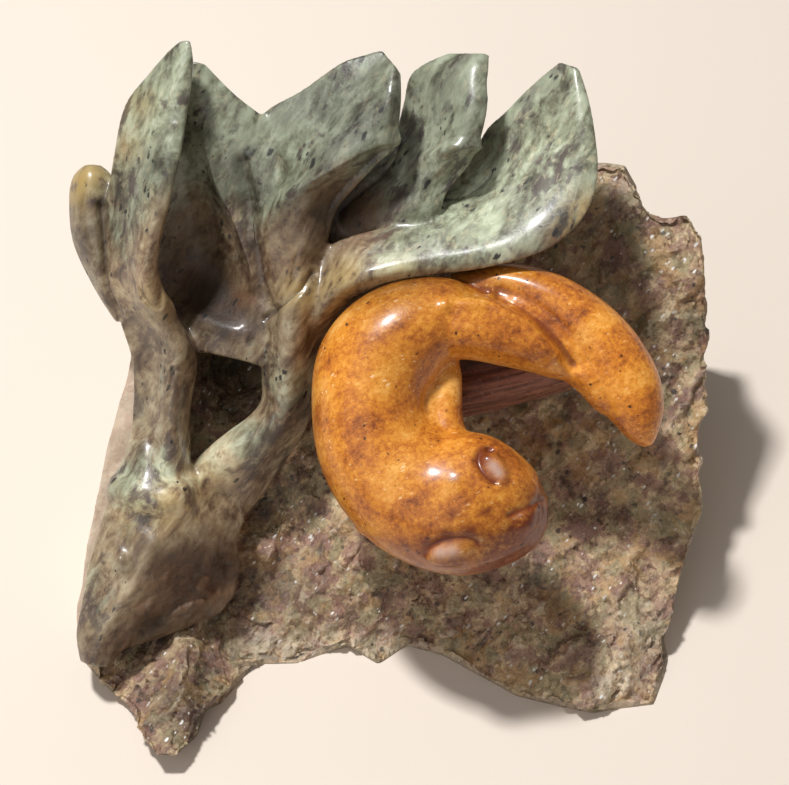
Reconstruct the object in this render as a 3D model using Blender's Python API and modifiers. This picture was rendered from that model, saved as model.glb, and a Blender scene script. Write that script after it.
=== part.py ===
"""Soapstone otter bookend: a rough stone wedge with polished kelp, and an otter curled under one blade.

The stone is a wedge on a flat sawn underside, with a flat sawn back that the books lean on. Its rough
front slopes back, and all the carving stands proud of that slope, so the carving is laid out in the
slope's own frame: across it to the right, up it from its middle, and proud of it. Those places are in
160ths of the stone's width, which are millimetres on this stone.
The built object is in metres with +Z up and the slope facing -Y. Its origin is in the underside,
halfway from the foot of the slope to the sawn back.
"""

import math

import bmesh
import bpy
from mathutils import Vector, noise

OBJECT_NAME = "soapstone_otter_bookend"
MM = 0.001

# Driving sizes, in millimetres and degrees
STONE_WIDTH = 160.0
STONE_DEPTH = 98.0
SLOPE_DEG = 40.0
SEAT_GAP = 0.35

# The unit of the carving's rows, and how far up the slope their middle lies
UNIT = STONE_WIDTH / 160 * MM
SLOPE_MIDDLE = 67.0

# The wedge's walls and the rough rind
WALL_RINGS = 14
WALL_TAPER = 0.05
FACE_CENTRE = (2.0, -8.0)
FACE_RINGS = (0.985, 0.95, 0.88, 0.79, 0.7, 0.6, 0.5, 0.4, 0.3, 0.2, 0.1)
EDGE_STEP = 3.0
WALL_OVERRUN = 1.15
WALL_CROWDING = 1.3
RIND_SCALE = 0.055
RIND_HEIGHT = 2.0
RIND_DIMENSION = 0.9
RIND_LACUNARITY = 2.1
RIND_OCTAVES = 3
RIND_OFFSET = 0.6
RIND_GRAIN_SCALE = 0.2
RIND_GRAIN_HEIGHT = 0.5
WALL_ROUGHNESS = 0.8

# How finely the carving is cut
SECTION_POINTS = 28
STEPS_BETWEEN = 5
VOXEL = 0.8
SOFTEN_STEPS = 3
STONE_TRIANGLES = 10500
OTTER_TRIANGLES = 2900
SHARP_DEG = 50.0

# Where a flat form's front stands most proud, as a share of the way from its left edge
DISHED = 0.4
ROUNDED = 0.45
EVEN = 0.5
FOLDED = 0.72

# The broken edge of the slope, clockwise from the top left: across, up, proud
BROKEN_EDGE = (
    (-53, 50, 0), (-20, 57, 0), (20, 57, 0), (53, 58, 0), (58, 57, 0), (65, 46, 0),
    (70, 45, 0), (74, 46, 0), (78, 39, -1), (80, 22, -2), (79, 8, -3), (80, -1, -3),
    (77, -13, -2), (79, -28, -1), (74, -42, 1), (68, -62, 5), (69, -67, 8), (64, -77, 13),
    (49, -79, 14), (30, -75, 10), (12, -66, 5), (3, -64, 4), (-4, -68, 6), (-12, -64, 4),
    (-25, -68, 6), (-35, -68, 8), (-43, -78, 16), (-48, -80, 19), (-53, -88, 24), (-57, -88, 24),
    (-62, -81, 21), (-69, -75, 16), (-78, -67, 10), (-80, -57, 1), (-77, -36, -10), (-72, -12, -12),
    (-67, 5, -10), (-64, 28, -4),
)

# Broad swells of the rough slope: across, up, reach, height
SWELLS = (
    (-55, -87, 19, 25),
    (-51, -64, 7, 4),
    (-31, -30, 8, -5),
    (-37, -47, 8, -6),
    (47, -78, 27, 13),
    (25, 8, 34, -4),
    (-18, -50, 22, 3),
    (62, 34, 20, 3),
    (-38, 6, 10, -13),
)

# Flat forms by their two edges, bottom to top. Each row is one cut across the form:
# left edge (across, up, proud), right edge (across, up, proud), front swell, back swell.
LUMP = (
    ((-64, -4, 8), (-44, -8, 8), 4, 14),
    ((-66, -14, 11), (-36, -14, 7), 8, 18),
    ((-70, -26, 12), (-36, -26, 7), 9, 20),
    ((-73, -35, 12), (-38.5, -35, 8), 9, 20),
    ((-75, -42, 12), (-42.5, -42, 9), 8, 19),
    ((-76.5, -51, 12), (-54, -52, 12), 6, 18),
    ((-78, -59, 12), (-63.5, -60, 14), 4.5, 16),
    ((-77, -66, 12), (-70, -67, 15), 3, 12),
)
LEFT_BLADE = (
    ((-68, -32, 5), (-50, -30, 5), 5, 12),
    ((-66, -20, 9), (-50, -17, 11), 7, 14),
    ((-64, -4, 13), (-50, -5, 14), 8, 16),
    ((-64, 8, 16), (-48, 9, 19), 7, 16),
    ((-67, 19, 19), (-53, 20, 26), 6, 16),
    ((-69, 31, 21), (-56, 30, 33), 5, 16),
    ((-69, 44, 24), (-53, 44, 37), 4, 15),
    ((-67, 57, 27), (-50, 56, 39), 3.5, 13),
    ((-64, 68, 31), (-48, 68, 40), 3, 10),
    ((-58, 75, 35), (-47, 76, 40), 2, 7),
    ((-53, 80, 38), (-47.2, 79.6, 40), 1, 3.5),
    ((-50, 82.3, 39.5), (-47.6, 82.2, 40), 0.4, 1.2),
)
ROLLED_LEAF = (
    ((-68, 17, 14), (-63, 19, 17), 2, 3),
    ((-73, 25, 15), (-64, 26, 19), 4, 5),
    ((-78, 36, 17), (-66, 37, 21), 5, 7),
    ((-79, 46, 18), (-67, 46, 21), 5, 7),
    ((-78, 52, 19), (-68, 52, 21), 4, 6),
    ((-75, 55, 20), (-71, 55, 20), 2, 3),
)
WEB = (
    ((-52, 11, 14), (-31, 6.5, 18), 3, 8),
    ((-55, 16, 14), (-30, 14, 22), 1, 12),
    ((-59, 25, 13), (-28, 23, 25), -5, 15),
    ((-60, 34, 14), (-28, 32, 27), -6, 17),
    ((-60, 45, 18), (-26, 43, 29), -4, 17),
    ((-58, 55, 23), (-25, 52, 29), 0, 15),
    ((-55, 65, 27), (-26, 61, 27), 1.5, 12),
    ((-53, 73, 29), (-38, 71, 29), 1, 8),
    ((-50, 79, 30), (-45, 78, 31), 0.5, 5),
)
RIGHT_STEM = (
    ((-57, -27, 9), (-43, -37, 4), 3, 12),
    ((-51, -19, 9), (-34, -27, 3), 5, 14),
    ((-45, -13, 10), (-27, -17, 5), 7, 16),
    ((-36.5, -3, 12), (-21.5, -8, 9), 8, 18),
    ((-32.5, 4.5, 15.5), (-19, 2, 13), 8, 19),
    ((-32, 15, 20), (-16, 14, 18), 8, 22),
    ((-32, 25, 23), (-15, 24, 22), 7, 22),
    ((-33, 36, 24), (-18, 34, 23), 5, 20),
    ((-34, 48, 23), (-22, 46, 22), 3, 17),
    ((-33, 58, 18), (-25, 57, 18), 1, 10),
)
NEAR_LEAF = (
    ((-34, 36, 24), (-22, 22, 22), 6, 14),
    ((-36, 50, 25), (-17, 33, 24), 7, 14),
    ((-35, 60, 26), (-14, 43, 27), 7, 12),
    ((-31, 67, 27), (-9, 49, 31), 7, 10),
    ((-22, 72, 29), (-4, 54, 34), 6, 9),
    ((-13, 78, 31), (0, 58, 36), 5, 8),
    ((-7, 80, 32), (1.5, 67, 37), 3.5, 6),
    ((-3, 81, 33), (1.5, 75, 35), 2, 4),
)
MIDDLE_LEAF = (
    ((-14, 36, 18), (8, 38, 23), 2, 6),
    ((-14, 43, 19), (11, 43.5, 27), 3, 9),
    ((-11, 49, 18), (13, 48.5, 27), 4, 9),
    ((-6, 54, 17), (18, 54.5, 29), 5, 9),
    ((-1, 61, 17), (20.5, 60.5, 32), 5, 8),
    ((2, 69.5, 19), (22, 67.5, 33), 4, 7),
    ((3.5, 76, 21), (22, 73.5, 32), 3, 6),
    ((7, 79, 23), (22, 77, 31), 2.5, 5),
    ((13, 81, 25), (20, 80, 28), 1.5, 3),
)
LONG_BLADE = (
    ((-33, 17, 15), (-21, 4, 13), 5, 12),
    ((-28, 26, 20), (-17, 13, 19), 6, 12),
    ((-20.5, 33, 23), (-12, 20.5, 24), 6, 11),
    ((-13, 36.5, 24), (-6, 24, 28.5), 6, 10),
    ((-4, 39, 24), (0, 26, 31), 5, 9),
    ((7, 42, 22), (10, 28, 33), 4.5, 9),
    ((11, 46, 20), (19, 29, 34), 4, 9),
    ((14, 52, 18), (30, 31.5, 35), 3.5, 9),
    ((19.5, 59, 18), (38, 35, 35), 3, 8),
    ((22.5, 64, 19), (45, 42, 35), 2.5, 8),
    ((27, 68, 21), (48, 51, 34), 2.5, 7),
    ((31.5, 72.5, 23), (47.5, 61, 33), 2.5, 6),
    ((35.5, 76, 25), (46, 70, 31), 2, 4.5),
    ((39.5, 79, 27), (44, 77, 29), 1, 2.5),
)

# Round forms by their middle line: across, up, proud, radius along the slope, radius proud of it
RIB = (
    (0, -1, 3, 9, 15),
    (16, 1, 5, 7.5, 16),
    (30, 4, 5, 7, 16.5),
    (42, 7, 5, 6.5, 15.5),
    (50, 9, 4, 5, 13),
    (54, 10, 2, 3, 9),
)
BODY = (
    (24, 18, 28, 5, 6),
    (18, 18, 29, 8, 9),
    (10, 17, 29, 11, 12.5),
    (2, 13, 29, 13.5, 14.5),
    (-4, 6, 29, 14.6, 15),
    (-5.5, -4, 29, 14.2, 15),
    (-3, -14, 30, 15, 15),
    (4, -22, 32, 16.3, 15),
    (12, -25.5, 34, 17, 15),
    (20, -26.5, 35, 16.6, 14.5),
    (27.5, -27.5, 35, 13.4, 12.5),
    (33, -28, 35, 9, 8.5),
    (36, -28, 35, 3.5, 3.5),
)
TAIL = (
    (14, 23, 24, 6, 6),
    (26, 25.5, 26, 5.5, 7),
    (36, 22.5, 28, 6.2, 8),
    (44.5, 17, 29, 7, 8.5),
    (51, 10, 29, 7.3, 8.5),
    (56.5, 2, 28, 6.9, 7.5),
    (59, -5, 27.5, 5.6, 6.5),
    (60.5, -10, 27, 3.3, 4),
    (61, -12.5, 27, 1.2, 1.5),
)
HIND_LEG = (
    (8, 16, 33, 8.5, 9),
    (18, 16, 35, 8.3, 9),
    (27, 13.5, 35, 7.5, 8.5),
    (34, 10.5, 34, 6.2, 7),
    (38.5, 7, 33, 4.2, 5),
    (41.5, 4, 32, 1.8, 2.2),
)
FORELEG = (
    (10, 8, 27, 6, 6),
    (12.3, 3, 28.5, 4.8, 5),
    (12.8, -2, 29, 4.2, 5),
    (13.5, -7, 30, 5, 5),
)
PAW = (
    (-10, -28, 20, 2, 2),
    (-8, -32, 19, 3, 3.5),
    (-4, -35, 20, 2.4, 3),
)

# Knobs of the otter's head, the two eyes and the nose: across, up, proud, turn in degrees,
# half length, half width
KNOBS = (
    (23.0, -18.6, 41.9, -40, 7.2, 5.2),
    (16.3, -36.2, 41.9, 5, 7.6, 5.2),
    (28.0, -28.4, 41.2, -10, 5.4, 6.0),
)
KNOB_STEPS = 8

# Colour, roughness
KELP_GREEN = ((0.24, 0.25, 0.17, 1.0), 0.3)
OTTER_ORANGE = ((0.55, 0.2, 0.045, 1.0), 0.28)


def clear_scene():
    """Remove every object, so that the scene holds only this part."""
    for leftover in list(bpy.data.objects):
        bpy.data.objects.remove(leftover, do_unlink=True)


def new_collection(name):
    collection = bpy.data.collections.new(name)
    bpy.context.scene.collection.children.link(collection)
    return collection


def stone_material(name, colour, roughness):
    material = bpy.data.materials.new(name)
    material.use_nodes = True
    shader = material.node_tree.nodes["Principled BSDF"]
    shader.inputs["Base Color"].default_value = colour
    shader.inputs["Roughness"].default_value = roughness
    shader.inputs["Metallic"].default_value = 0.0
    return material


def on_slope(across, up, proud):
    """A point of the slope's frame, in the object's frame and in metres."""
    slope = math.radians(SLOPE_DEG)
    along = SLOPE_MIDDLE + up
    back = along * math.cos(slope) - proud * math.sin(slope)
    height = along * math.sin(slope) + proud * math.cos(slope)
    return Vector((across * UNIT, back * UNIT - STONE_DEPTH / 2 * MM, height * UNIT))


def between(before, start, end, after, share):
    """Catmull-Rom blend of four numbers, at a share of the way from start to end."""
    swing = (end - before) * share
    bend = (2 * before - 5 * start + 4 * end - after) * share**2
    close = (3 * start - before - 3 * end + after) * share**3
    return start + 0.5 * (swing + bend + close)


def smooth_rows(rows):
    """The rows with more of them put in between, each column on its own smooth curve."""
    filled = []
    last = len(rows) - 1
    for index in range(last):
        four = [rows[max(0, min(last, index + shift))] for shift in (-1, 0, 1, 2)]
        for step in range(STEPS_BETWEEN):
            share = step / STEPS_BETWEEN
            filled.append([between(*column, share) for column in zip(*four)])
    filled.append(list(rows[-1]))
    return filled


def add_ring(mesh, points):
    return [mesh.verts.new(point) for point in points]


def bridge_rings(mesh, ring, following):
    """Join two rings of as many points with a band of quads."""
    count = len(ring)
    for index in range(count):
        after = (index + 1) % count
        mesh.faces.new((ring[index], ring[after], following[after], following[index]))


def close_form(mesh, rings):
    """Band the rings together and cap both ends."""
    for ring, following in zip(rings, rings[1:]):
        bridge_rings(mesh, ring, following)
    mesh.faces.new(list(reversed(rings[0])))
    mesh.faces.new(rings[-1])


def add_flat_form(mesh, cuts, crest):
    """A leaf, web or stem: each cut swells in front and behind between its left and right edges."""
    rows = smooth_rows([(*left, *right, front, back) for left, right, front, back in cuts])
    skew = math.log(0.5) / math.log(crest)
    rings = []
    for row in rows:
        left, right = Vector(row[0:3]), Vector(row[3:6])
        front, back = row[6:8]
        points = []
        for index in range(SECTION_POINTS):
            angle = math.tau * index / SECTION_POINTS
            share = 0.5 + 0.5 * math.cos(angle)
            place = left.lerp(right, share)
            if index < SECTION_POINTS / 2:
                swell = front * math.sin(math.pi * share**skew)
            else:
                swell = back * math.sin(angle)
            points.append(on_slope(place.x, place.y, place.z + swell))
        rings.append(add_ring(mesh, points))
    close_form(mesh, rings)


def add_round_form(mesh, stations):
    """A limb or body: an oval section carried along its middle line, square to it on the slope."""
    rows = smooth_rows(stations)
    rings = []
    for index, row in enumerate(rows):
        ahead, behind = rows[min(index + 1, len(rows) - 1)], rows[max(index - 1, 0)]
        heading = Vector((ahead[0] - behind[0], ahead[1] - behind[1])).normalized()
        across, up, proud, side, depth = row
        points = []
        for corner in range(SECTION_POINTS):
            angle = math.tau * corner / SECTION_POINTS
            out = side * math.cos(angle)
            points.append(
                on_slope(across - heading.y * out, up + heading.x * out, proud + depth * math.sin(angle))
            )
        rings.append(add_ring(mesh, points))
    close_form(mesh, rings)


def add_knobs(mesh, knobs):
    """Small oval swellings, each sunk in the form that it stands on."""
    for across, up, proud, turn, length, width in knobs:
        heading = Vector((math.cos(math.radians(turn)), math.sin(math.radians(turn))))
        stations = []
        for step in range(1, KNOB_STEPS):
            angle = math.pi * step / KNOB_STEPS
            place = Vector((across, up)) - heading * length * math.cos(angle)
            radius = width * math.sin(angle)
            stations.append((place.x, place.y, proud, radius, radius))
        add_round_form(mesh, stations)


def slope_height(across, up):
    """How far the rough slope stands proud of its mean plane at a place on it."""
    height = 0.0
    for middle, middle_up, reach, rise in SWELLS:
        away = ((across - middle) ** 2 + (up - middle_up) ** 2) / reach**2
        height += rise * math.exp(-away)
    return height


def rind(across, up, proud):
    """Chipped relief of the rough rind, in millimetres, the same at each run."""
    place = Vector((across, up, proud))
    chips = noise.hetero_terrain(
        place * RIND_SCALE, RIND_DIMENSION, RIND_LACUNARITY, RIND_OCTAVES, RIND_OFFSET
    )
    grain = noise.noise(place * RIND_GRAIN_SCALE)
    return RIND_HEIGHT * (chips - RIND_OFFSET) + RIND_GRAIN_HEIGHT * grain


def broken_edge():
    """The edge with points put in along each straight break."""
    points = []
    for index, corner in enumerate(BROKEN_EDGE):
        start, end = Vector(corner), Vector(BROKEN_EDGE[(index + 1) % len(BROKEN_EDGE)])
        steps = max(1, round((end - start).length / EDGE_STEP))
        points += [start.lerp(end, step / steps) for step in range(steps)]
    return points


def add_wedge(mesh):
    """The rough stone: the relief of the slope, its broken edge, and walls that go down and back.

    The walls run on past the underside and the back, which the saw cuts later.
    """
    edge = broken_edge()
    centre = Vector((*FACE_CENTRE, 0.0))
    top = SLOPE_MIDDLE + max(corner.y for corner in edge)
    wall_depth = WALL_OVERRUN * top * math.tan(math.radians(SLOPE_DEG))
    rings = []
    for ring in range(WALL_RINGS, 0, -1):
        share = ring / WALL_RINGS
        depth = wall_depth * share**WALL_CROWDING
        points = []
        for corner in edge:
            place = centre.lerp(corner, 1 - WALL_TAPER * share)
            rough = WALL_ROUGHNESS * rind(place.x, place.y, corner.z - depth)
            out = (corner - centre).normalized() * rough
            points.append(on_slope(place.x + out.x, place.y + out.y, corner.z - depth))
        rings.append(add_ring(mesh, points))
    rings.append(add_ring(mesh, [on_slope(*corner) for corner in edge]))
    for share in FACE_RINGS:
        points = []
        for corner in edge:
            place = centre.lerp(corner, share)
            height = slope_height(place.x, place.y) + rind(place.x, place.y, 0)
            points.append(on_slope(place.x, place.y, height))
        rings.append(add_ring(mesh, points))
    close_form(mesh, rings)


def as_object(name, mesh, collection):
    """Turn a bmesh into an object in the collection, and free it."""
    data = bpy.data.meshes.new(name)
    mesh.to_mesh(data)
    mesh.free()
    made = bpy.data.objects.new(name, data)
    collection.objects.link(made)
    return made


def mesh_object(name, collection, *fillers):
    """An object whose mesh is filled by (function, rows) pairs, each one closed form."""
    mesh = bmesh.new()
    for fill, *rows in fillers:
        fill(mesh, *rows)
    bmesh.ops.recalc_face_normals(mesh, faces=mesh.faces)
    return as_object(name, mesh, collection)


def evaluated_mesh(item):
    """A bmesh of the object with its modifiers applied."""
    graph = bpy.context.evaluated_depsgraph_get()
    mesh = bmesh.new()
    mesh.from_object(item, graph)
    return mesh


def blend(item):
    """Blend the forms into one skin, as if they were cut from one block, and soften it a little."""
    remesh = item.modifiers.new("One skin", "REMESH")
    remesh.mode = "VOXEL"
    remesh.voxel_size = VOXEL * UNIT
    soften = item.modifiers.new("Soften", "SMOOTH")
    soften.iterations = SOFTEN_STEPS


def thin_out(item, triangles):
    """Keep about this many triangles, more of them where the form bends."""
    mesh = evaluated_mesh(item)
    count = sum(len(face.verts) - 2 for face in mesh.faces)
    mesh.free()
    decimate = item.modifiers.new("Thin out", "DECIMATE")
    decimate.ratio = min(1.0, triangles / count)


def saw_flat(mesh, point, normal):
    """Saw off what lies beyond the plane, and close the cut with a flat face."""
    everything = mesh.verts[:] + mesh.edges[:] + mesh.faces[:]
    cut = bmesh.ops.bisect_plane(
        mesh, geom=everything, plane_co=point, plane_no=normal, dist=1e-6, clear_outer=True
    )
    edges = [piece for piece in cut["geom_cut"] if isinstance(piece, bmesh.types.BMEdge)]
    bmesh.ops.triangle_fill(mesh, edges=edges, use_beauty=True, use_dissolve=False, normal=normal)


def keep_largest(mesh):
    """Remove every loose chip, so that the mesh is one body."""
    left = set(mesh.faces)
    bodies = []
    while left:
        front = [left.pop()]
        body = set(front)
        while front:
            face = front.pop()
            for edge in face.edges:
                for other in edge.link_faces:
                    if other in left:
                        left.remove(other)
                        body.add(other)
                        front.append(other)
        bodies.append(body)
    bodies.sort(key=len)
    for chip in bodies[:-1]:
        bmesh.ops.delete(mesh, geom=list(chip), context="FACES")


def finish(item, mesh, material):
    bmesh.ops.triangulate(mesh, faces=mesh.faces)
    bmesh.ops.recalc_face_normals(mesh, faces=mesh.faces)
    mesh.to_mesh(item.data)
    mesh.free()
    item.modifiers.clear()
    item.data.materials.clear()
    item.data.materials.append(material)
    item.data.shade_smooth()
    item.data.set_sharp_from_angle(angle=math.radians(SHARP_DEG))


def make_otter(parts):
    """The otter: one body tube from rump to nose, with its tail, hind leg, foreleg and paw."""
    otter = mesh_object(
        "otter",
        parts,
        (add_round_form, BODY),
        (add_round_form, TAIL),
        (add_round_form, HIND_LEG),
        (add_round_form, FORELEG),
        (add_round_form, PAW),
        (add_knobs, KNOBS),
    )
    blend(otter)
    thin_out(otter, OTTER_TRIANGLES)
    mesh = evaluated_mesh(otter)
    finish(otter, mesh, stone_material("polished_otter_stone", *OTTER_ORANGE))
    return otter


def make_seat(otter, guides):
    """The otter a little thicker all over: the room that it takes up in the other stone."""
    mesh = evaluated_mesh(otter)
    for vertex in mesh.verts:
        vertex.co += vertex.normal * SEAT_GAP * MM
    seat = as_object("otter_seat", mesh, guides)
    seat.hide_render = True
    seat.display_type = "WIRE"
    return seat


def make_kelp_and_rock(parts, seat):
    """The stone wedge with the kelp that grows out of it, sawn flat below and behind."""
    stone = mesh_object(
        "kelp_and_rock",
        parts,
        (add_wedge,),
        (add_flat_form, LUMP, ROUNDED),
        (add_flat_form, LEFT_BLADE, FOLDED),
        (add_flat_form, ROLLED_LEAF, ROUNDED),
        (add_flat_form, WEB, DISHED),
        (add_flat_form, RIGHT_STEM, EVEN),
        (add_flat_form, NEAR_LEAF, FOLDED),
        (add_flat_form, MIDDLE_LEAF, FOLDED),
        (add_flat_form, LONG_BLADE, FOLDED),
        (add_round_form, RIB),
    )
    green = stone_material("kelp_stone", *KELP_GREEN)
    blend(stone)
    thin_out(stone, STONE_TRIANGLES)
    mesh = evaluated_mesh(stone)
    saw_flat(mesh, Vector((0, 0, 0)), Vector((0, 0, -1)))
    saw_flat(mesh, Vector((0, STONE_DEPTH / 2 * MM, 0)), Vector((0, 1, 0)))
    keep_largest(mesh)
    finish(stone, mesh, green)
    room = stone.modifiers.new("Otter seat", "BOOLEAN")
    room.operation = "DIFFERENCE"
    room.object = seat
    mesh = evaluated_mesh(stone)
    keep_largest(mesh)
    finish(stone, mesh, green)


def main():
    clear_scene()
    parts = new_collection(OBJECT_NAME)
    guides = new_collection("guides")
    otter = make_otter(parts)
    seat = make_seat(otter, guides)
    make_kelp_and_rock(parts, seat)


main()
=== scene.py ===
"""Soapstone otter bookend, finished as a carving: polished kelp and otter on a rough stone wedge.

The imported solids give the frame. Each is drawn again here from the rule that shaped it, with a finer
skin, and then worked as a carver would: the forms are fused into one block, grooves and ridges are cut
along lines, knobs are raised, and the rind gets its chips and its crystals. The carving is laid out on
the rough slope, in millimetres: across it to the right, up it from its middle, and proud of it.
"""

from __future__ import annotations

import logging
import math
from collections.abc import Iterable, Sequence
from dataclasses import dataclass
from enum import Enum

import bmesh
import bpy
import numpy as np
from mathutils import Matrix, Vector, noise
from mathutils.bvhtree import BVHTree


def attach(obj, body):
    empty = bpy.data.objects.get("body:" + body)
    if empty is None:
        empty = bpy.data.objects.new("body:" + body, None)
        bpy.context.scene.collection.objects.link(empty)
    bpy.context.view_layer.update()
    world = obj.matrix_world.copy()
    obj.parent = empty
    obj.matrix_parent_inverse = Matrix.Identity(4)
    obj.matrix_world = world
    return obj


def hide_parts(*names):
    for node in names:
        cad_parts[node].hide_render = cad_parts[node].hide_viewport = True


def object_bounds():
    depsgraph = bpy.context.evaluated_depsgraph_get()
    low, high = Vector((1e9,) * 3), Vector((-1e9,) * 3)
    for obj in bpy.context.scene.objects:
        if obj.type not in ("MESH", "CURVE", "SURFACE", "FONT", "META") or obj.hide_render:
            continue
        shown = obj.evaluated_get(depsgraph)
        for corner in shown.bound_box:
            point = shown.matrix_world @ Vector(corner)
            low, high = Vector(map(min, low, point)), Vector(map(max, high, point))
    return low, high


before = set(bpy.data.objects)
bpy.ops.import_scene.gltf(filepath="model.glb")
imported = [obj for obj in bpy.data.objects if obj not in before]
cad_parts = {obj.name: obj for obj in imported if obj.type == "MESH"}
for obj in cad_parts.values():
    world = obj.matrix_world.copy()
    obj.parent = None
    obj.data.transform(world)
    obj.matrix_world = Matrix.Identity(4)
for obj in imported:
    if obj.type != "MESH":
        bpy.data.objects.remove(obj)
CAD_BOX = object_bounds()

LOG = logging.getLogger("otter_bookend")
MM = 0.001
BODY = "root"
TINY = 1e-9
SAW_REACH = 1e-4
SEAT_GAP = 0.35
MOST_TRIANGLES = 190000

Row = tuple[float, ...]
Rows = tuple[Row, ...]
Colour = tuple[float, float, float]
Socket = bpy.types.NodeSocket


@dataclass(frozen=True)
class Slope:
    """The rough slope that carries the carving, and its place in the object's frame.

    Attributes:
        angle_deg: how far the slope leans from the underside.
        middle: how far up the slope the rows' middle lies, in millimetres.
        depth: the stone's depth from the slope's foot to its sawn back, in millimetres.
    """

    angle_deg: float = 40.0
    middle: float = 67.0
    depth: float = 98.0

    def turn(self) -> np.ndarray:
        """The matrix that turns slope places to the object's axes.

        Returns:
            The matrix, for columns.
        """
        angle = math.radians(self.angle_deg)
        sine, cosine = math.sin(angle), math.cos(angle)
        return np.array(((1, 0, 0), (0, cosine, -sine), (0, sine, cosine)))

    def to_object(self, places: np.ndarray) -> np.ndarray:
        """Places on the slope, in the object's frame.

        Args:
            places: across, up and proud in millimetres, one row each.

        Returns:
            The same places in metres.
        """
        moved = places + np.array((0, self.middle, 0))
        return (moved @ self.turn().T - np.array((0, self.depth / 2, 0))) * MM


SLOPE = Slope()


def smooth_rows(rows: Sequence[Row], steps: int) -> np.ndarray:
    """Rows with more of them put in between, each column on its own Catmull-Rom curve.

    Args:
        rows: the rows as designed.
        steps: how many rows each one becomes.

    Returns:
        The rows as an array.
    """
    given = np.array(rows, float)
    padded = np.vstack((given[:1], given, given[-1:]))
    share = (np.arange(steps) / steps)[:, None]
    filled = []
    for index in range(len(given) - 1):
        before, start, end, after = padded[index : index + 4]
        swing = (end - before) * share
        bend = (2 * before - 5 * start + 4 * end - after) * share**2
        close = (3 * start - before - 3 * end + after) * share**3
        filled.append(start + 0.5 * (swing + bend + close))
    return np.vstack((*filled, given[-1:]))


def ramped(values: np.ndarray, start: float, end: float) -> np.ndarray:
    """0 up to the start, 1 from the end on, and straight between them; the end may lie below the start."""
    return np.clip((values - start) / (end - start), 0, 1)


def gap_to_line(places: np.ndarray, line: np.ndarray) -> np.ndarray:
    """How far places on the slope lie from a line.

    Args:
        places: across and up, one row each.
        line: the points that the line passes, across and up.

    Returns:
        The gap of each place.
    """
    nearest = np.full(len(places), np.inf)
    for start, end in zip(line, line[1:]):
        run = end - start
        share = np.clip(((places - start) @ run) / max(run @ run, TINY), 0, 1)
        gap = np.linalg.norm(places - start - share[:, None] * run, axis=1)
        nearest = np.minimum(nearest, gap)
    return nearest


def new_object(mesh: bmesh.types.BMesh, name: str) -> bpy.types.Object:
    """Put a mesh in the scene as an object of this name, and free it.

    Args:
        mesh: the mesh.
        name: the object's name.

    Returns:
        The object.
    """
    data = bpy.data.meshes.new(name)
    mesh.to_mesh(data)
    mesh.free()
    made = bpy.data.objects.new(name, data)
    bpy.context.scene.collection.objects.link(made)
    return made


def vectors(source: bpy.types.bpy_prop_collection, name: str) -> np.ndarray:
    """A vector that a mesh keeps for each of its corners, one row each.

    Args:
        source: the corners, or what else the mesh keeps for them.
        name: the vector's name.

    Returns:
        The vectors.
    """
    flat = np.empty(len(source) * 3, np.float32)
    source.foreach_get(name, flat)
    return flat.reshape(-1, 3).astype(float)


class Crest(Enum):
    """Where a flat form's front stands most proud, as a share of the way from its left edge."""

    DISHED = 0.4
    ROUNDED = 0.45
    EVEN = 0.5
    FOLDED = 0.72


@dataclass(frozen=True)
class FlatForm:
    """A leaf, web or stem, cut across from bottom to top.

    Attributes:
        cuts: left edge, right edge (across, up, proud each), front swell and back swell of each cut.
        crest: where the front stands most proud.
        steps: how many rings each cut becomes.
    """

    cuts: tuple[tuple[Row, Row, float, float], ...]
    crest: Crest
    steps: int = 10

    def rings(self, points: int) -> np.ndarray:
        """The form's rings, as an array of ring, point and coordinate.

        Args:
            points: how many points each ring has.

        Returns:
            The rings.
        """
        cuts = [(*left, *right, front, back) for left, right, front, back in self.cuts]
        rows = smooth_rows(cuts, self.steps)
        skew = math.log(0.5) / math.log(self.crest.value)
        angle = np.arange(points) * math.tau / points
        share = 0.5 + 0.5 * np.cos(angle)
        front = np.sin(math.pi * share**skew)
        in_front = angle < math.pi
        left, right = rows[:, None, 0:3], rows[:, None, 3:6]
        places = left + (right - left) * share[None, :, None]
        swell = np.where(in_front, rows[:, 6:7] * front, rows[:, 7:8] * np.sin(angle))
        places[:, :, 2] += swell
        return places


@dataclass(frozen=True)
class RoundForm:
    """A limb or body: an oval section carried along its middle line.

    Attributes:
        stations: across, up, proud, radius along the slope and radius proud of it.
        steps: how many rings each station becomes.
    """

    stations: Rows
    steps: int = 10

    def rings(self, points: int) -> np.ndarray:
        """The form's rings, as an array of ring, point and coordinate.

        Args:
            points: how many points each ring has.

        Returns:
            The rings.
        """
        rows = smooth_rows(self.stations, self.steps)
        ahead = np.vstack((rows[1:, :2], rows[-1:, :2]))
        behind = np.vstack((rows[:1, :2], rows[:-1, :2]))
        heading = ahead - behind
        heading /= np.linalg.norm(heading, axis=1, keepdims=True)
        angle = np.arange(points) * math.tau / points
        out = rows[:, 3:4] * np.cos(angle)
        across = rows[:, 0:1] - heading[:, 1:2] * out
        up = rows[:, 1:2] + heading[:, 0:1] * out
        proud = rows[:, 2:3] + rows[:, 4:5] * np.sin(angle)
        return np.stack((across, up, proud), axis=2)


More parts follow.
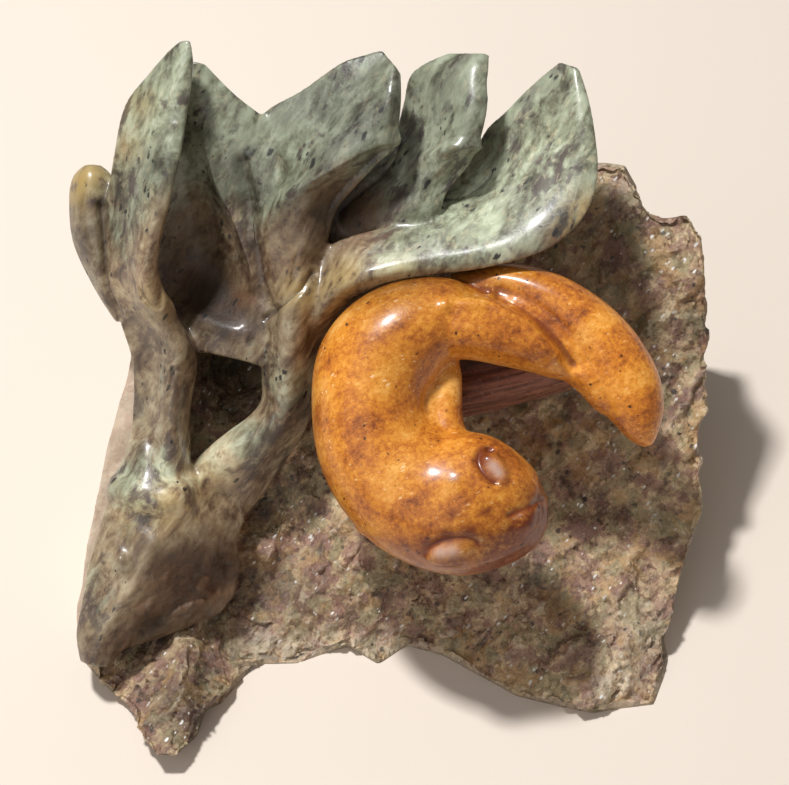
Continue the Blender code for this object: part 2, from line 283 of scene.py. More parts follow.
@dataclass(frozen=True)
class Knob:
    """A small oval swelling, sunk in the form that it stands on.

    Attributes:
        across, up, proud: its middle.
        turn_deg: its heading on the slope.
        length, width: half its size along and across that heading.
    """

    across: float
    up: float
    proud: float
    turn_deg: float
    length: float
    width: float
    count: int = 8

    def rings(self, points: int) -> np.ndarray:
        """The knob's rings, as an array of ring, point and coordinate.

        Args:
            points: how many points each ring has.

        Returns:
            The rings.
        """
        turn = math.radians(self.turn_deg)
        stations = []
        for step in range(1, self.count):
            angle = math.pi * step / self.count
            along = -self.length * math.cos(angle)
            radius = self.width * math.sin(angle)
            place = (self.across + math.cos(turn) * along, self.up + math.sin(turn) * along)
            stations.append((*place, self.proud, radius, radius))
        return RoundForm(tuple(stations)).rings(points)


@dataclass(frozen=True)
class Wedge:
    """The rough stone before the saw: the slope's relief, its broken edge, and walls down and back.

    Attributes:
        edge: corners of the broken edge, clockwise from the top left: across, up, proud.
        swells: broad swells of the slope: across, up, reach, height.
    """

    edge: Rows
    swells: Rows
    centre: tuple[float, float] = (2.0, -8.0)
    edge_step: float = 1.5
    wall_rings: int = 40
    wall_taper: float = 0.05
    wall_overrun: float = 1.15
    wall_crowding: float = 1.3
    wall_roughness: float = 0.8
    wall_start: float = 10.0
    face_rings: int = 60
    centre_gap: float = 0.3
    rind_scale: float = 0.055
    rind_height: float = 2.0
    rind_dimension: float = 0.9
    rind_lacunarity: float = 2.1
    rind_octaves: int = 3
    rind_offset: float = 0.6
    grain_scale: float = 0.2
    grain_height: float = 0.5

    def rind(self, place: Sequence[float]) -> float:
        """Chipped relief of the rind at a place, in millimetres.

        Args:
            place: across, up and proud.

        Returns:
            How far it stands proud.
        """
        point = Vector(place)
        chips = noise.hetero_terrain(
            point * self.rind_scale,
            self.rind_dimension,
            self.rind_lacunarity,
            self.rind_octaves,
            self.rind_offset,
        )
        grain = noise.noise(point * self.grain_scale)
        return self.rind_height * (chips - self.rind_offset) + self.grain_height * grain

    def height(self, across: np.ndarray, up: np.ndarray) -> np.ndarray:
        """How far the slope's broad swells stand proud at places on it.

        Args:
            across, up: the places.

        Returns:
            The height at each place.
        """
        total = np.zeros_like(across)
        for middle, middle_up, reach, rise in self.swells:
            total += rise * np.exp(-((across - middle) ** 2 + (up - middle_up) ** 2) / reach**2)
        return total

    def outline(self) -> np.ndarray:
        """The broken edge with points put in along each straight break.

        Returns:
            The points, one row each.
        """
        corners = np.array(self.edge, float)
        points = []
        for start, end in zip(corners, np.roll(corners, -1, axis=0)):
            steps = max(1, round(np.linalg.norm(end - start) / self.edge_step))
            points += [start + (end - start) * step / steps for step in range(steps)]
        return np.array(points)

    def rings(self, points: int) -> np.ndarray:
        """The wedge's rings, from the far end of its walls to the middle of its slope.

        Args:
            points: not used, because the broken edge sets how many points each ring has.

        Returns:
            The rings.
        """
        edge = self.outline()
        rough = np.array([self.rind((place[0], place[1], 0)) for place in edge])
        edge[:, 2] = np.minimum(edge[:, 2], self.height(edge[:, 0], edge[:, 1]) + rough)
        middle = np.array((*self.centre, 0.0))
        top = SLOPE.middle + max(corner[1] for corner in self.edge)
        wall_depth = self.wall_overrun * top * math.tan(math.radians(SLOPE.angle_deg))
        away = edge - middle
        away /= np.linalg.norm(away, axis=1, keepdims=True)
        rings = []
        for ring in range(self.wall_rings, 0, -1):
            share = ring / self.wall_rings
            depth = wall_depth * share**self.wall_crowding
            ring_places = middle + (edge - middle) * (1 - self.wall_taper * share)
            ring_places[:, 2] = edge[:, 2] - depth
            rough = np.array([self.rind(place) for place in ring_places])
            roughness = self.wall_roughness * min(1.0, depth / self.wall_start)
            ring_places[:, :2] += away[:, :2] * (roughness * rough)[:, None]
            rings.append(ring_places)
        rings.append(edge)
        for ring in range(self.face_rings, 0, -1):
            share = (ring - self.centre_gap) / self.face_rings
            ring_places = middle + (edge - middle) * share
            relief = np.array([self.rind((place[0], place[1], 0)) for place in ring_places])
            ring_places[:, 2] = self.height(ring_places[:, 0], ring_places[:, 1]) + relief
            rings.append(ring_places)
        return np.array(rings)


Form = FlatForm | RoundForm | Knob | Wedge


class Edge(Enum):
    """How the bottom of a cut is shaped."""

    SOFT = "soft"
    SHARP = "sharp"


@dataclass(frozen=True)
class Cut:
    """One pass of a tool along a line on the slope: a groove if it goes in, a ridge if it comes out.

    Attributes:
        line: the points that it passes, across and up.
        width: how far from the line it reaches.
        rise: how far it moves the surface, inwards if under zero.
        lowest, highest: the heights proud of the slope between which it works.
        edge: how its bottom is shaped.
    """

    REACH = 3
    SHARPNESS = 1.3

    line: Rows
    width: float
    rise: float
    lowest: float = -50.0
    highest: float = 90.0
    edge: Edge = Edge.SOFT

    def shift(self, places: np.ndarray) -> np.ndarray:
        """How far each place moves along its own normal.

        Args:
            places: across, up and proud, one row each.

        Returns:
            The moves.
        """
        moved = np.zeros(len(places))
        points = np.array(self.line, float)
        reach = self.width * self.REACH
        low, high = points.min(axis=0) - reach, points.max(axis=0) + reach
        near = np.all((places[:, :2] > low) & (places[:, :2] < high), axis=1)
        near &= (places[:, 2] > self.lowest) & (places[:, 2] < self.highest)
        gap = gap_to_line(places[near, :2], points) / self.width
        if self.edge is Edge.SOFT:
            moved[near] = self.rise * np.exp(-(gap**2))
        else:
            moved[near] = self.rise * np.clip(1 - gap, 0, 1) ** self.SHARPNESS
        return moved


OVAL_POINTS = 17


def oval(across: float, up: float, turn_deg: float, length: float, width: float, turns: Row) -> Rows:
    """Part of an oval as a line of points.

    Args:
        across, up: its middle.
        turn_deg: its heading.
        length, width: half its size along and across that heading.
        turns: where round it the line starts and ends, in degrees.

    Returns:
        The line.
    """
    sine, cosine = math.sin(math.radians(turn_deg)), math.cos(math.radians(turn_deg))
    line = []
    for angle in np.radians(np.linspace(*turns, OVAL_POINTS)):
        along, out = length * math.cos(angle), width * math.sin(angle)
        line.append((across + along * cosine - out * sine, up + along * sine + out * cosine))
    return tuple(line)


@dataclass(frozen=True)
class Stain:
    """A soft spot of another colour on the stone: across, up, reach and strength."""

    across: float
    up: float
    reach: float
    strength: float


Stains = tuple[Stain, ...]


def spots(*rows: Row) -> Stains:
    """Stains from rows of across, up, reach and strength."""
    return tuple(Stain(*row) for row in rows)


def stained(places: np.ndarray, stains: Stains, least: float = 0.0) -> np.ndarray:
    """How strong the stains are at each place, from the least to 1.

    Args:
        places: across, up and proud, one row each.
        stains: the spots.
        least: the least that they may add up to.

    Returns:
        The strength at each place.
    """
    total = np.zeros(len(places))
    for stain in stains:
        away = (places[:, 0] - stain.across) ** 2 + (places[:, 1] - stain.up) ** 2
        total += stain.strength * np.exp(-away / stain.reach**2)
    return np.clip(total, least, 1)


class Block:
    """A stone on the carver's bench: a mesh in the slope's frame, and the tools that work on it."""

    RING_POINTS = 96
    FACING = 0.1
    FACING_BLEND = 0.3
    FILL_RATE = 1.6
    CHIP_OCTAVES = 4
    CHIP_LACUNARITY = 2.1
    LEAST_CHIP = 0.02

    def __init__(self, name: str, forms: Iterable[Form]) -> None:
        """Set the forms up as closed skins in one mesh.

        Args:
            name: the piece's name.
            forms: what the block is made of.
        """
        self.name = name
        mesh = bmesh.new()
        for form in forms:
            rings = [[mesh.verts.new(place) for place in ring] for ring in form.rings(self.RING_POINTS)]
            for ring, following in zip(rings, rings[1:]):
                count = len(ring)
                for index in range(count):
                    after = (index + 1) % count
                    mesh.faces.new((ring[index], ring[after], following[after], following[index]))
            mesh.faces.new(list(reversed(rings[0])))
            mesh.faces.new(rings[-1])
        bmesh.ops.recalc_face_normals(mesh, faces=mesh.faces)
        self.item = new_object(mesh, name)

    def bake(self) -> None:
        """Turn the modifiers' result into the plain mesh."""
        graph = bpy.context.evaluated_depsgraph_get()
        made = bpy.data.meshes.new_from_object(self.item.evaluated_get(graph))
        old = self.item.data
        self.item.modifiers.clear()
        self.item.data = made
        bpy.data.meshes.remove(old)
        made.name = self.name

    def fuse(self, voxel: float, rounds: int) -> None:
        """Blend the forms into one skin and soften it.

        Args:
            voxel: the skin's fineness, in millimetres.
            rounds: how many times it is softened.
        """
        remesh = self.item.modifiers.new("One skin", "REMESH")
        remesh.mode = "VOXEL"
        remesh.voxel_size = voxel
        soften = self.item.modifiers.new("Soften", "SMOOTH")
        soften.iterations = rounds
        self.bake()

    def drop_crumbs(self) -> None:
        """Delete every bit that has come loose from the main body."""
        mesh = bmesh.new()
        mesh.from_mesh(self.item.data)
        left = set(mesh.verts)
        bodies = []
        while left:
            body, edge = set(), [left.pop()]
            while edge:
                corner = edge.pop()
                body.add(corner)
                beyond = {link.other_vert(corner) for link in corner.link_edges} & left
                left -= beyond
                edge.extend(beyond)
            bodies.append(body)
        bodies.sort(key=len)
        bmesh.ops.delete(mesh, geom=[corner for body in bodies[:-1] for corner in body], context="VERTS")
        mesh.to_mesh(self.item.data)
        mesh.free()

    def thin(self, most: int) -> None:
        """Keep at most this many triangles, more of them where the stone bends.

        Args:
            most: how many triangles are kept.
        """
        count = sum(len(face.vertices) - 2 for face in self.item.data.polygons)
        if count > most:
            thinner = self.item.modifiers.new("Thin out", "DECIMATE")
            thinner.ratio = most / count
            self.bake()

    def places(self) -> np.ndarray:
        """The corners' places, one row each."""
        return vectors(self.item.data.vertices, "co")

    def put(self, places: np.ndarray) -> None:
        """Move the corners to these places."""
        self.item.data.vertices.foreach_set("co", places.astype(np.float32).ravel())
        self.item.data.update()

    def normals(self) -> np.ndarray:
        """The corners' outward directions, one row each."""
        return vectors(self.item.data.vertex_normals, "vector")

    def grooved(self, cuts: Iterable[Cut], depth: float) -> np.ndarray:
        """How deep in a groove each corner lies, from 0 to 1 at the depth given."""
        places = self.places()
        return np.clip(sum(np.clip(-cut.shift(places), 0, None) for cut in cuts) / depth, 0, 1)

    def carve(self, cuts: Iterable[Cut]) -> None:
        """Make the cuts, in order, in what faces out of the slope.

        Args:
            cuts: the passes.
        """
        for cut in cuts:
            places, normals = self.places(), self.normals()
            bite = np.clip((normals[:, 2] - self.FACING) / self.FACING_BLEND + 0.5, 0, 1)
            places += normals * (cut.shift(places) * bite)[:, None]
            self.put(places)

    def mark(self, name: str, values: np.ndarray) -> None:
        """Keep a number for each corner, for the material to read."""
        layer = self.item.data.attributes.new(name, "FLOAT", "POINT")
        layer.data.foreach_set("value", values.astype(np.float32))

    def stain(self, name: str, stains: Stains, least: float = 0.0, lowest: float = -math.inf) -> None:
        """Mark how strong stains are at each corner.

        Args:
            name: the mark's name.
            stains: the spots.
            least: the least that they may add up to.
            lowest: how far proud of the slope they begin.
        """
        places = self.places()
        self.mark(name, stained(places, stains, least) * (places[:, 2] > lowest))

    def shade(self, stains: Stains, darkest: float) -> None:
        """Mark where the stone is lighter or darker, by its own tone and by painted shade: 1 leaves it as
        it is.

        Args:
            stains: the spots, darker if under zero.
            darkest: the least that they may add up to.
        """
        self.mark("tone", 1 + stained(self.places(), stains, darkest))

    def neighbours_mean(self, values: np.ndarray, rounds: int) -> np.ndarray:
        """The values averaged with their neighbours', a number of times over.

        Args:
            values: one row for each corner.
            rounds: how many times they are averaged.

        Returns:
            The averaged values.
        """
        edges = np.empty(len(self.item.data.edges) * 2, np.int32)
        self.item.data.edges.foreach_get("vertices", edges)
        one, other = edges.reshape(-1, 2).T
        count = len(self.item.data.vertices)
        links = np.bincount(one, minlength=count) + np.bincount(other, minlength=count)
        links = np.maximum(links, 1)
        result = values.copy()
        for _ in range(rounds):
            for column in range(result.shape[1]):
                of_one = np.bincount(other, weights=result[one, column], minlength=count)
                of_other = np.bincount(one, weights=result[other, column], minlength=count)
                result[:, column] = 0.5 * result[:, column] + 0.5 * (of_one + of_other) / links
        return result

    def hollows(self, rounds: int) -> np.ndarray:
        """How far the averaged skin lies outside the skin at each corner: over zero in a groove."""
        places = self.places()
        return ((self.neighbours_mean(places, rounds) - places) * self.normals()).sum(axis=1)

    def mark_hollows(self, name: str, rounds: int, depth: float) -> None:
        """Mark how hollow the skin is at each corner: 0.5 flat, 1 in a groove, 0 on a ridge.

        Args:
            name: the mark's name.
            rounds: how far the skin is averaged to compare it with.
            depth: the depth that counts as wholly hollow, in millimetres.
        """
        self.mark(name, np.clip(0.5 + 0.5 * self.hollows(rounds) / depth, 0, 1))

    def soothe(self, rounds: int, zones: Stains | None = None) -> None:
        """Round the inside corners out, as a riffler leaves them, and spare the ridges.

        Args:
            rounds: how many strokes are taken.
            zones: where it is done, everywhere if not given.
        """
        share = 1.0 if zones is None else stained(self.places(), zones)
        for _ in range(rounds):
            fill = np.clip(self.hollows(1), 0, None) * self.FILL_RATE * share
            self.put(self.places() + self.normals() * fill[:, None])

    def chip(self, zones: Stains, size: float, depth: float) -> None:
        """Roughen the stone with small chips, as the pick leaves it.

        Args:
            zones: where it is done.
            size: how large the chips are, in millimetres.
            depth: how deep they go, in millimetres.
        """
        places, normals = self.places(), self.normals()
        share = stained(places, zones)
        for index in np.nonzero(share > self.LEAST_CHIP)[0]:
            point = Vector(places[index] / size)
            rise = noise.fractal(point, 1.0, self.CHIP_LACUNARITY, self.CHIP_OCTAVES)
            places[index] += normals[index] * (depth * share[index] * rise)
        self.put(places)

    def seat(self, other: Block, gap: float) -> None:
        """Clear room for another block that rests in this one.

        Args:
            other: the block that rests here.
            gap: how far this skin stays from it, in millimetres.
        """
        tree = BVHTree.FromObject(other.item, bpy.context.evaluated_depsgraph_get())
        low, high = other.places().min(axis=0) - gap, other.places().max(axis=0) + gap
        places = self.places()
        for index in np.nonzero(np.all((places > low) & (places < high), axis=1))[0]:
            point = Vector(places[index])
            nearest, normal, _, _ = tree.find_nearest(point)
            if nearest is not None and (point - nearest).dot(normal) < gap:
                places[index] = nearest + normal * gap
        self.put(places)

    def saw(self, point: Row, normal: Row) -> None:
        """Saw off what lies beyond a plane of the slope's frame, and close the cut flat.

        Args:
            point: a point of the plane.
            normal: the way out of the stone.
        """
        mesh = bmesh.new()
        mesh.from_mesh(self.item.data)
        everything = mesh.verts[:] + mesh.edges[:] + mesh.faces[:]
        cut = bmesh.ops.bisect_plane(
            mesh, geom=everything, plane_co=point, plane_no=normal, dist=SAW_REACH, clear_outer=True
        )
        edges = [piece for piece in cut["geom_cut"] if isinstance(piece, bmesh.types.BMEdge)]
        bmesh.ops.triangle_fill(mesh, edges=edges, use_beauty=True, use_dissolve=False, normal=normal)
        mesh.to_mesh(self.item.data)
        mesh.free()

    def release(
        self, node: str, slot: str, material: bpy.types.Material, crisp_deg: float = 180.0
    ) -> None:
        """Take the finished stone off the bench: into the object's frame, inside the CAD box.

        Args:
            node: the CAD node that it stands for.
            slot: the record's material slot; not used.
            material: its finish.
            crisp_deg: how sharply the skin must bend for an edge to stay crisp.
        """
        low, high = (np.array(corner) for corner in CAD_BOX)
        self.put(np.clip(SLOPE.to_object(self.places()), low, high))
        self.item.data.materials.clear()
        self.item.data.materials.append(material)
        self.item.data.shade_smooth()
        self.item.data.set_sharp_from_angle(angle=math.radians(crisp_deg))
        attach(self.item, BODY)
        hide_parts(node)
        LOG.info("%s: %d faces", self.name, len(self.item.data.polygons))


class Value:
    """A number in a material's or a shape's nodes, which adds its Math nodes as it is reckoned with."""

    def __init__(self, kit: Kit, socket: Socket) -> None:
        self.kit = kit
        self.socket = socket

    def __add__(self, other: Number) -> Value:
        """This plus the other."""
        return self.kit.maths("ADD", self, other)

    def __radd__(self, other: Number) -> Value:
        """The other plus this."""
        return self.kit.maths("ADD", other, self)

    def __sub__(self, other: Number) -> Value:
        """This less the other."""
        return self.kit.maths("SUBTRACT", self, other)

    def __rsub__(self, other: Number) -> Value:
        """The other less this."""
        return self.kit.maths("SUBTRACT", other, self)

    def __mul__(self, other: Number) -> Value:
        """This times the other."""
        return self.kit.maths("MULTIPLY", self, other)

    def __rmul__(self, other: Number) -> Value:
        """The other times this."""
        return self.kit.maths("MULTIPLY", other, self)

    def __truediv__(self, other: Number) -> Value:
        """This over the other."""
        return self.kit.maths("DIVIDE", self, other)

    def __lt__(self, other: Number) -> Value:
        """1 where this is less than the other, else 0."""
        return self.kit.maths("LESS_THAN", self, other)


Number = Value | float
MIDDLE = (0.5, 0.5, 0.5)


class Kit:
    """Puts nodes in a tree and links them."""

    def __init__(self, tree: bpy.types.NodeTree) -> None:
        """Work on this tree."""
        self.tree = tree

    def node(
        self,
        kind: str,
        settings: dict[str, object] | None = None,
        inputs: dict[str | int, object] | None = None,
    ) -> bpy.types.Node:
        """Add a node.

        Args:
            kind: the node's type.
            settings: its own settings, set first; "stops" gives a ramp's stops.
            inputs: the values or links of its sockets, by name or place.

        Returns:
            The node.
        """
        made = self.tree.nodes.new(kind)
        for name, setting in (settings or {}).items():
            if name == "stops":
                ramp = made.color_ramp
                while len(ramp.elements) > len(setting):
                    ramp.elements.remove(ramp.elements[-1])
                while len(ramp.elements) < len(setting):
                    ramp.elements.new(1.0)
                for element, (place, colour) in zip(ramp.elements, setting):
                    element.position = place
                    element.color = (*colour, 1.0)
            else:
                setattr(made, name, setting)
        for key, given in (inputs or {}).items():
            self.feed(made.inputs[key], given)
        return made

    def feed(self, socket: Socket, given: object) -> None:
        """Link or set a socket.

        Args:
            socket: the socket.
            given: a value or a socket to link, or a number or colour to set.
        """
        if isinstance(given, Value):
            given = given.socket
        if isinstance(given, Socket):
            self.tree.links.new(given, socket)
        elif isinstance(given, tuple) and len(given) == 3 and socket.type == "RGBA":
            socket.default_value = (*given, 1.0)
        else:
            socket.default_value = given

    def maths(self, operation: str, *given: Number) -> Value:
        """A Math node on numbers."""
        made = self.node("ShaderNodeMath", {"operation": operation}, dict(enumerate(given)))
        return Value(self, made.outputs[0])

    def vector(self, operation: str, *given: object) -> Socket:
        """A Vector Math node's vector.

        Args:
            operation: what it does.
            given: its inputs in order; the second is the factor if it scales.

        Returns:
            Its vector.
        """
        inputs: dict[str | int, object] = dict(enumerate(given))
        if operation == "SCALE":
            inputs = {0: given[0], "Scale": given[1]}
        return self.node("ShaderNodeVectorMath", {"operation": operation}, inputs).outputs[0]

    def ease(self, given: Number, low: float, high: float) -> Value:
        """0 under low, 1 over high, and smooth between them; turned round if low is over high.

        Args:
            given: the number eased.
            low, high: where it starts and ends.

        Returns:
            The eased number.
        """
        inputs = {"Value": given, "From Min": low, "From Max": high, "To Min": 0.0, "To Max": 1.0}
        if low > high:
            inputs |= {"From Min": high, "From Max": low, "To Min": 1.0, "To Max": 0.0}
        made = self.node("ShaderNodeMapRange", {"interpolation_type": "SMOOTHSTEP"}, inputs)
        return Value(self, made.outputs["Result"])

    def turned(self, place: Socket, axis: str, angle_deg: float) -> Socket:
        """The place turned back about the X or Z axis, so that a pattern on it is turned by the angle."""
        inputs = {"Vector": place, "Angle": -math.radians(angle_deg)}
        return self.node("ShaderNodeVectorRotate", {"rotation_type": f"{axis}_AXIS"}, inputs).outputs[0]

    def cells(self, place: Socket, scale: Number, feature: str = "F1") -> bpy.types.Node:
        """A Voronoi node: cells about points strewn at random."""
        return self.node("ShaderNodeTexVoronoi", {"feature": feature}, {"Vector": place, "Scale": scale})

    def noise(self, place: Socket, scale: Number, detail: float = 3.0, rough: float = 0.5) -> Value:
        """Noise from 0 to 1.

        Args:
            place: where the pattern is read.
            scale: how many swells there are in a millimetre.
            detail: how many finer layers it has.
            rough: how strong the finer ones are.

        Returns:
            The noise.
        """
        inputs = {"Vector": place, "Scale": scale, "Detail": detail, "Roughness": rough}
        return Value(self, self.node("ShaderNodeTexNoise", None, inputs).outputs[0])

    def stray(self, place: Socket, scale: float, far: float, read_at: Socket | None = None) -> Socket:
        """The place pushed about by noise, so that a pattern on it wanders.

        Args:
            place: what is pushed.
            scale: how fine the noise is.
            far: how far it pushes.
            read_at: where the noise is read, if not at the place.

        Returns:
            The pushed place.
        """
        inputs = {"Vector": place if read_at is None else read_at, "Scale": scale, "Detail": 2.0}
        push = self.node("ShaderNodeTexNoise", None, inputs).outputs[1]
        centred = self.vector("SUBTRACT", push, MIDDLE)
        return self.vector("ADD", place, self.vector("SCALE", centred, far))

    def facets(self, place: Socket, scale: Number) -> Value:
        """Crystal faces, each flat and tilted its own way, about 0.5 up and down.

        Args:
            place: where the pattern is read.
            scale: how many crystals there are in a millimetre.

        Returns:
            The relief.
        """
        cells = self.cells(place, scale)
        out = self.vector("SUBTRACT", place, cells.outputs["Position"])
        lean = self.vector("SUBTRACT", cells.outputs["Color"], MIDDLE)
        tilt = self.node("ShaderNodeVectorMath", {"operation": "DOT_PRODUCT"}, {0: out, 1: lean})
        return Value(self, tilt.outputs["Value"]) * scale * 2

    def mix(self, share: Number, one: object, other: object) -> Socket:
        """One colour turning into the other as the share goes from 0 to 1."""
        return self.node("ShaderNodeMix", {"data_type": "RGBA"}, {0: share, 6: one, 7: other}).outputs[2]


class Stone(Kit):
    """The nodes of one stone's finish, with what every stone here reads, and its colour as laid so far."""

    SMALLEST_SPOT = 0.35
    SPOT_EDGE = 0.55

    def __init__(self, name: str) -> None:
        """Start a finish with this name.

        Args:
            name: the material's name.
        """
        self.material = bpy.data.materials.new(name)
        self.material.use_nodes = True
        super().__init__(self.material.node_tree)
        self.shader = self.tree.nodes["Principled BSDF"]
        start = self.node("ShaderNodeTexCoord").outputs["Object"]
        self.place = self.vector("SCALE", start, 1 / MM)
        self.base: object = MIDDLE

    def polish(self, weight: float, roughness: float) -> None:
        """Lay a thin polish over the stone."""
        self.shader.inputs["Coat Weight"].default_value = weight
        self.shader.inputs["Coat Roughness"].default_value = roughness

    def along(self, lean_deg: float, stretch: float) -> Socket:
        """The place turned to run along the slope's grain and drawn out along it.

        Args:
            lean_deg: the grain's heading on the slope.
            stretch: how many times longer the pattern is along it.

        Returns:
            The turned place.
        """
        turned = self.turned(self.turned(self.place, "X", SLOPE.angle_deg), "Z", lean_deg)
        return self.vector("MULTIPLY", turned, (1 / stretch, 1.0, 1.0))

    def specks(self, place: Socket, scale: float, size: float, share: float) -> Value:
        """Spots of many sizes strewn at random.

        Args:
            place: where the pattern is read.
            scale: how many places for a spot there are in a millimetre.
            size: the largest spot's radius, as a share of the room that it has.
            share: how many of the places have one.

        Returns:
            1 in a spot, and 0 between them.
        """
        cells = self.cells(place, scale)
        chance = self.node("ShaderNodeSeparateColor", None, {0: cells.outputs["Color"]})
        reach = (self.SMALLEST_SPOT + (1 - self.SMALLEST_SPOT) * Value(self, chance.outputs[1])) * size
        spot = self.ease(Value(self, cells.outputs["Distance"]) / reach, 1.0, self.SPOT_EDGE)
        return spot * (Value(self, chance.outputs[0]) < share)

    def ramp(self, stops: Sequence[tuple[float, Colour]], tone: Number) -> Socket:
        """The colour of a ramp at a tone."""
        return self.node("ShaderNodeValToRGB", {"stops": stops}, {0: tone}).outputs[0]

    def lay(self, share: Number, colour: object) -> None:
        """Lay a colour over the base, as thick as the share."""
        self.base = self.mix(share, self.base, colour)

    def wash(self, pattern: Number, start: float, full: float, share: float, colour: object) -> None:
        """Lay a colour where a pattern is high.

        Args:
            pattern: what says where.
            start: the pattern's value at which the colour begins.
            full: the value from which it is full; under the start, it lies where the pattern is low.
            share: how thick it is where it is full.
            colour: the colour laid.
        """
        self.lay(self.ease(pattern, start, full) * share, colour)

    def shade(self) -> None:
        """Make the base lighter or darker by the mesh's tone mark, its own tone and painted shade: 1 leaves
        it as it is.
        """
        self.base = self.vector("SCALE", self.base, self.attribute("tone"))

    def dress(self, roughness: Number) -> None:
        """Put the base and the roughness on the shader."""
        self.feed(self.shader.inputs["Base Color"], self.base)
        self.feed(self.shader.inputs["Roughness"], roughness)

    def attribute(self, name: str) -> Value:
        """A number that the mesh keeps for each corner."""
        made = self.node("ShaderNodeAttribute", {"attribute_name": name})
        return Value(self, made.outputs["Fac"])

    def bumps(self, height: Number, distance: float, strength: float) -> None:
        """Raise fine relief in the surface.

        Args:
            height: the relief, from 0 to 1.
            distance: its depth in metres.
            strength: how strongly it shows.
        """
        inputs = {"Height": height, "Distance": distance, "Strength": strength}
        self.feed(self.shader.inputs["Normal"], self.node("ShaderNodeBump", None, inputs).outputs[0])


@dataclass(frozen=True)
class KelpFinish:
    """Polished soapstone, green in the leaves and brown in the stems, with plum veins and black flecks."""

    moss: Colour = (0.035, 0.035, 0.026)
    sage: Colour = (0.105, 0.102, 0.068)
    mint: Colour = (0.205, 0.222, 0.15)
    frost: Colour = (0.355, 0.385, 0.28)
    bark: Colour = (0.045, 0.028, 0.018)
    umber: Colour = (0.13, 0.083, 0.05)
    fawn: Colour = (0.27, 0.2, 0.12)
    cream: Colour = (0.48, 0.4, 0.26)
    plum: Colour = (0.052, 0.036, 0.036)
    ochre: Colour = (0.4, 0.28, 0.1)
    rust: Colour = (0.2, 0.088, 0.034)
    fleck: Colour = (0.008, 0.008, 0.008)
    grain_deg: float = 58.0
    gloss: float = 0.27
    polish: float = 0.4
    polish_roughness: float = 0.17
    pore_depth: float = 0.0004

    def material(self) -> bpy.types.Material:
        """The finish as a material.

        Returns:
            The material.
        """
        stone = Stone("kelp_polished")
        stone.polish(self.polish, self.polish_roughness)
        grain = stone.stray(stone.along(self.grain_deg, 1.9), 0.1, 6.0)
        broad = stone.noise(grain, 0.1, 4.0, 0.6)
        fine = stone.noise(grain, 0.45, 4.0, 0.6)
        cloud = stone.noise(stone.stray(stone.place, 0.15, 4.0), 0.11, 3.0, 0.55)
        grit = stone.noise(stone.place, 1.9, 4.0, 0.8)
        tone = broad * 0.55 + fine * 0.45 + (grit - 0.5) * 0.14
        greens = [(0.37, self.moss), (0.445, self.sage), (0.525, self.mint), (0.61, self.frost)]
        browns = [(0.36, self.bark), (0.45, self.umber), (0.54, self.fawn), (0.66, self.cream)]
        stone.base = stone.ramp(browns, tone)
        leafy = stone.attribute("leafy") * 1.15 + (cloud - 0.5) * 1.2 + (fine - 0.5) * 0.6
        stone.lay(stone.ease(leafy, 0.1, 0.85), stone.ramp(greens, tone))
        veins = stone.ease(stone.noise(grain, 0.14, 5.0, 0.62), 0.54, 0.6)
        leaf_veins = veins * stone.ease(cloud, 0.4, 0.5) * stone.ease(leafy, -0.3, 0.4)
        stone.lay(leaf_veins * 0.8, self.plum)
        clear = stone.ease(stone.noise(grain, 0.13, 4.0, 0.6) + leafy * 0.1, 0.6, 0.7)
        stone.lay(clear * 0.4, self.frost)
        threads = stone.ease(stone.noise(grain, 0.6, 3.0, 0.6), 0.56, 0.68)
        stone.lay(threads * 0.3, self.cream)
        stone.wash(grit, 0.56, 0.7, 0.35, self.plum)
        # Rust brown on rough, broken stone; the same mark stands as painted shade in the web's hollow and
        # by the near leaf, where it also thins the polish.
        stone.lay(stone.attribute("rusty") * stone.ease(grit + fine, 0.7, 1.05), self.rust)
        stone.lay(stone.attribute("ochre") * stone.ease(fine + broad, 0.75, 1.05), self.ochre)
        stone.shade()
        flocks = stone.ease(stone.noise(stone.place, 0.1, 2.0), 0.5, 0.58)
        wander = stone.stray(stone.along(self.grain_deg, 2.1), 0.8, 1.4)
        flecks = stone.specks(wander, 0.56, 0.46, 0.56) * flocks * stone.ease(leafy, -0.9, 0.2)
        stone.lay(flecks * 0.92, self.fleck)
        # Bark brown in grooves and broad hollows: partly the stone's own patina there and partly painted
        # shade.
        stone.wash(stone.attribute("hollow"), 0.55, 0.95, 0.55, self.bark)
        stone.wash(stone.attribute("valley"), 0.55, 1.0, 0.35, self.bark)
        rusty = stone.attribute("rusty")
        stone.feed(stone.shader.inputs["Coat Weight"], self.polish * (1 - 0.9 * rusty))
        stone.dress(self.gloss + 0.24 * fine + 0.25 * (flecks + rusty))
        pores = stone.noise(stone.place, 0.8, 4.0, 0.6) * 0.6 + fine * 0.4
        stone.bumps(pores * (1 + 2 * rusty), self.pore_depth, 0.4)
        return stone.material


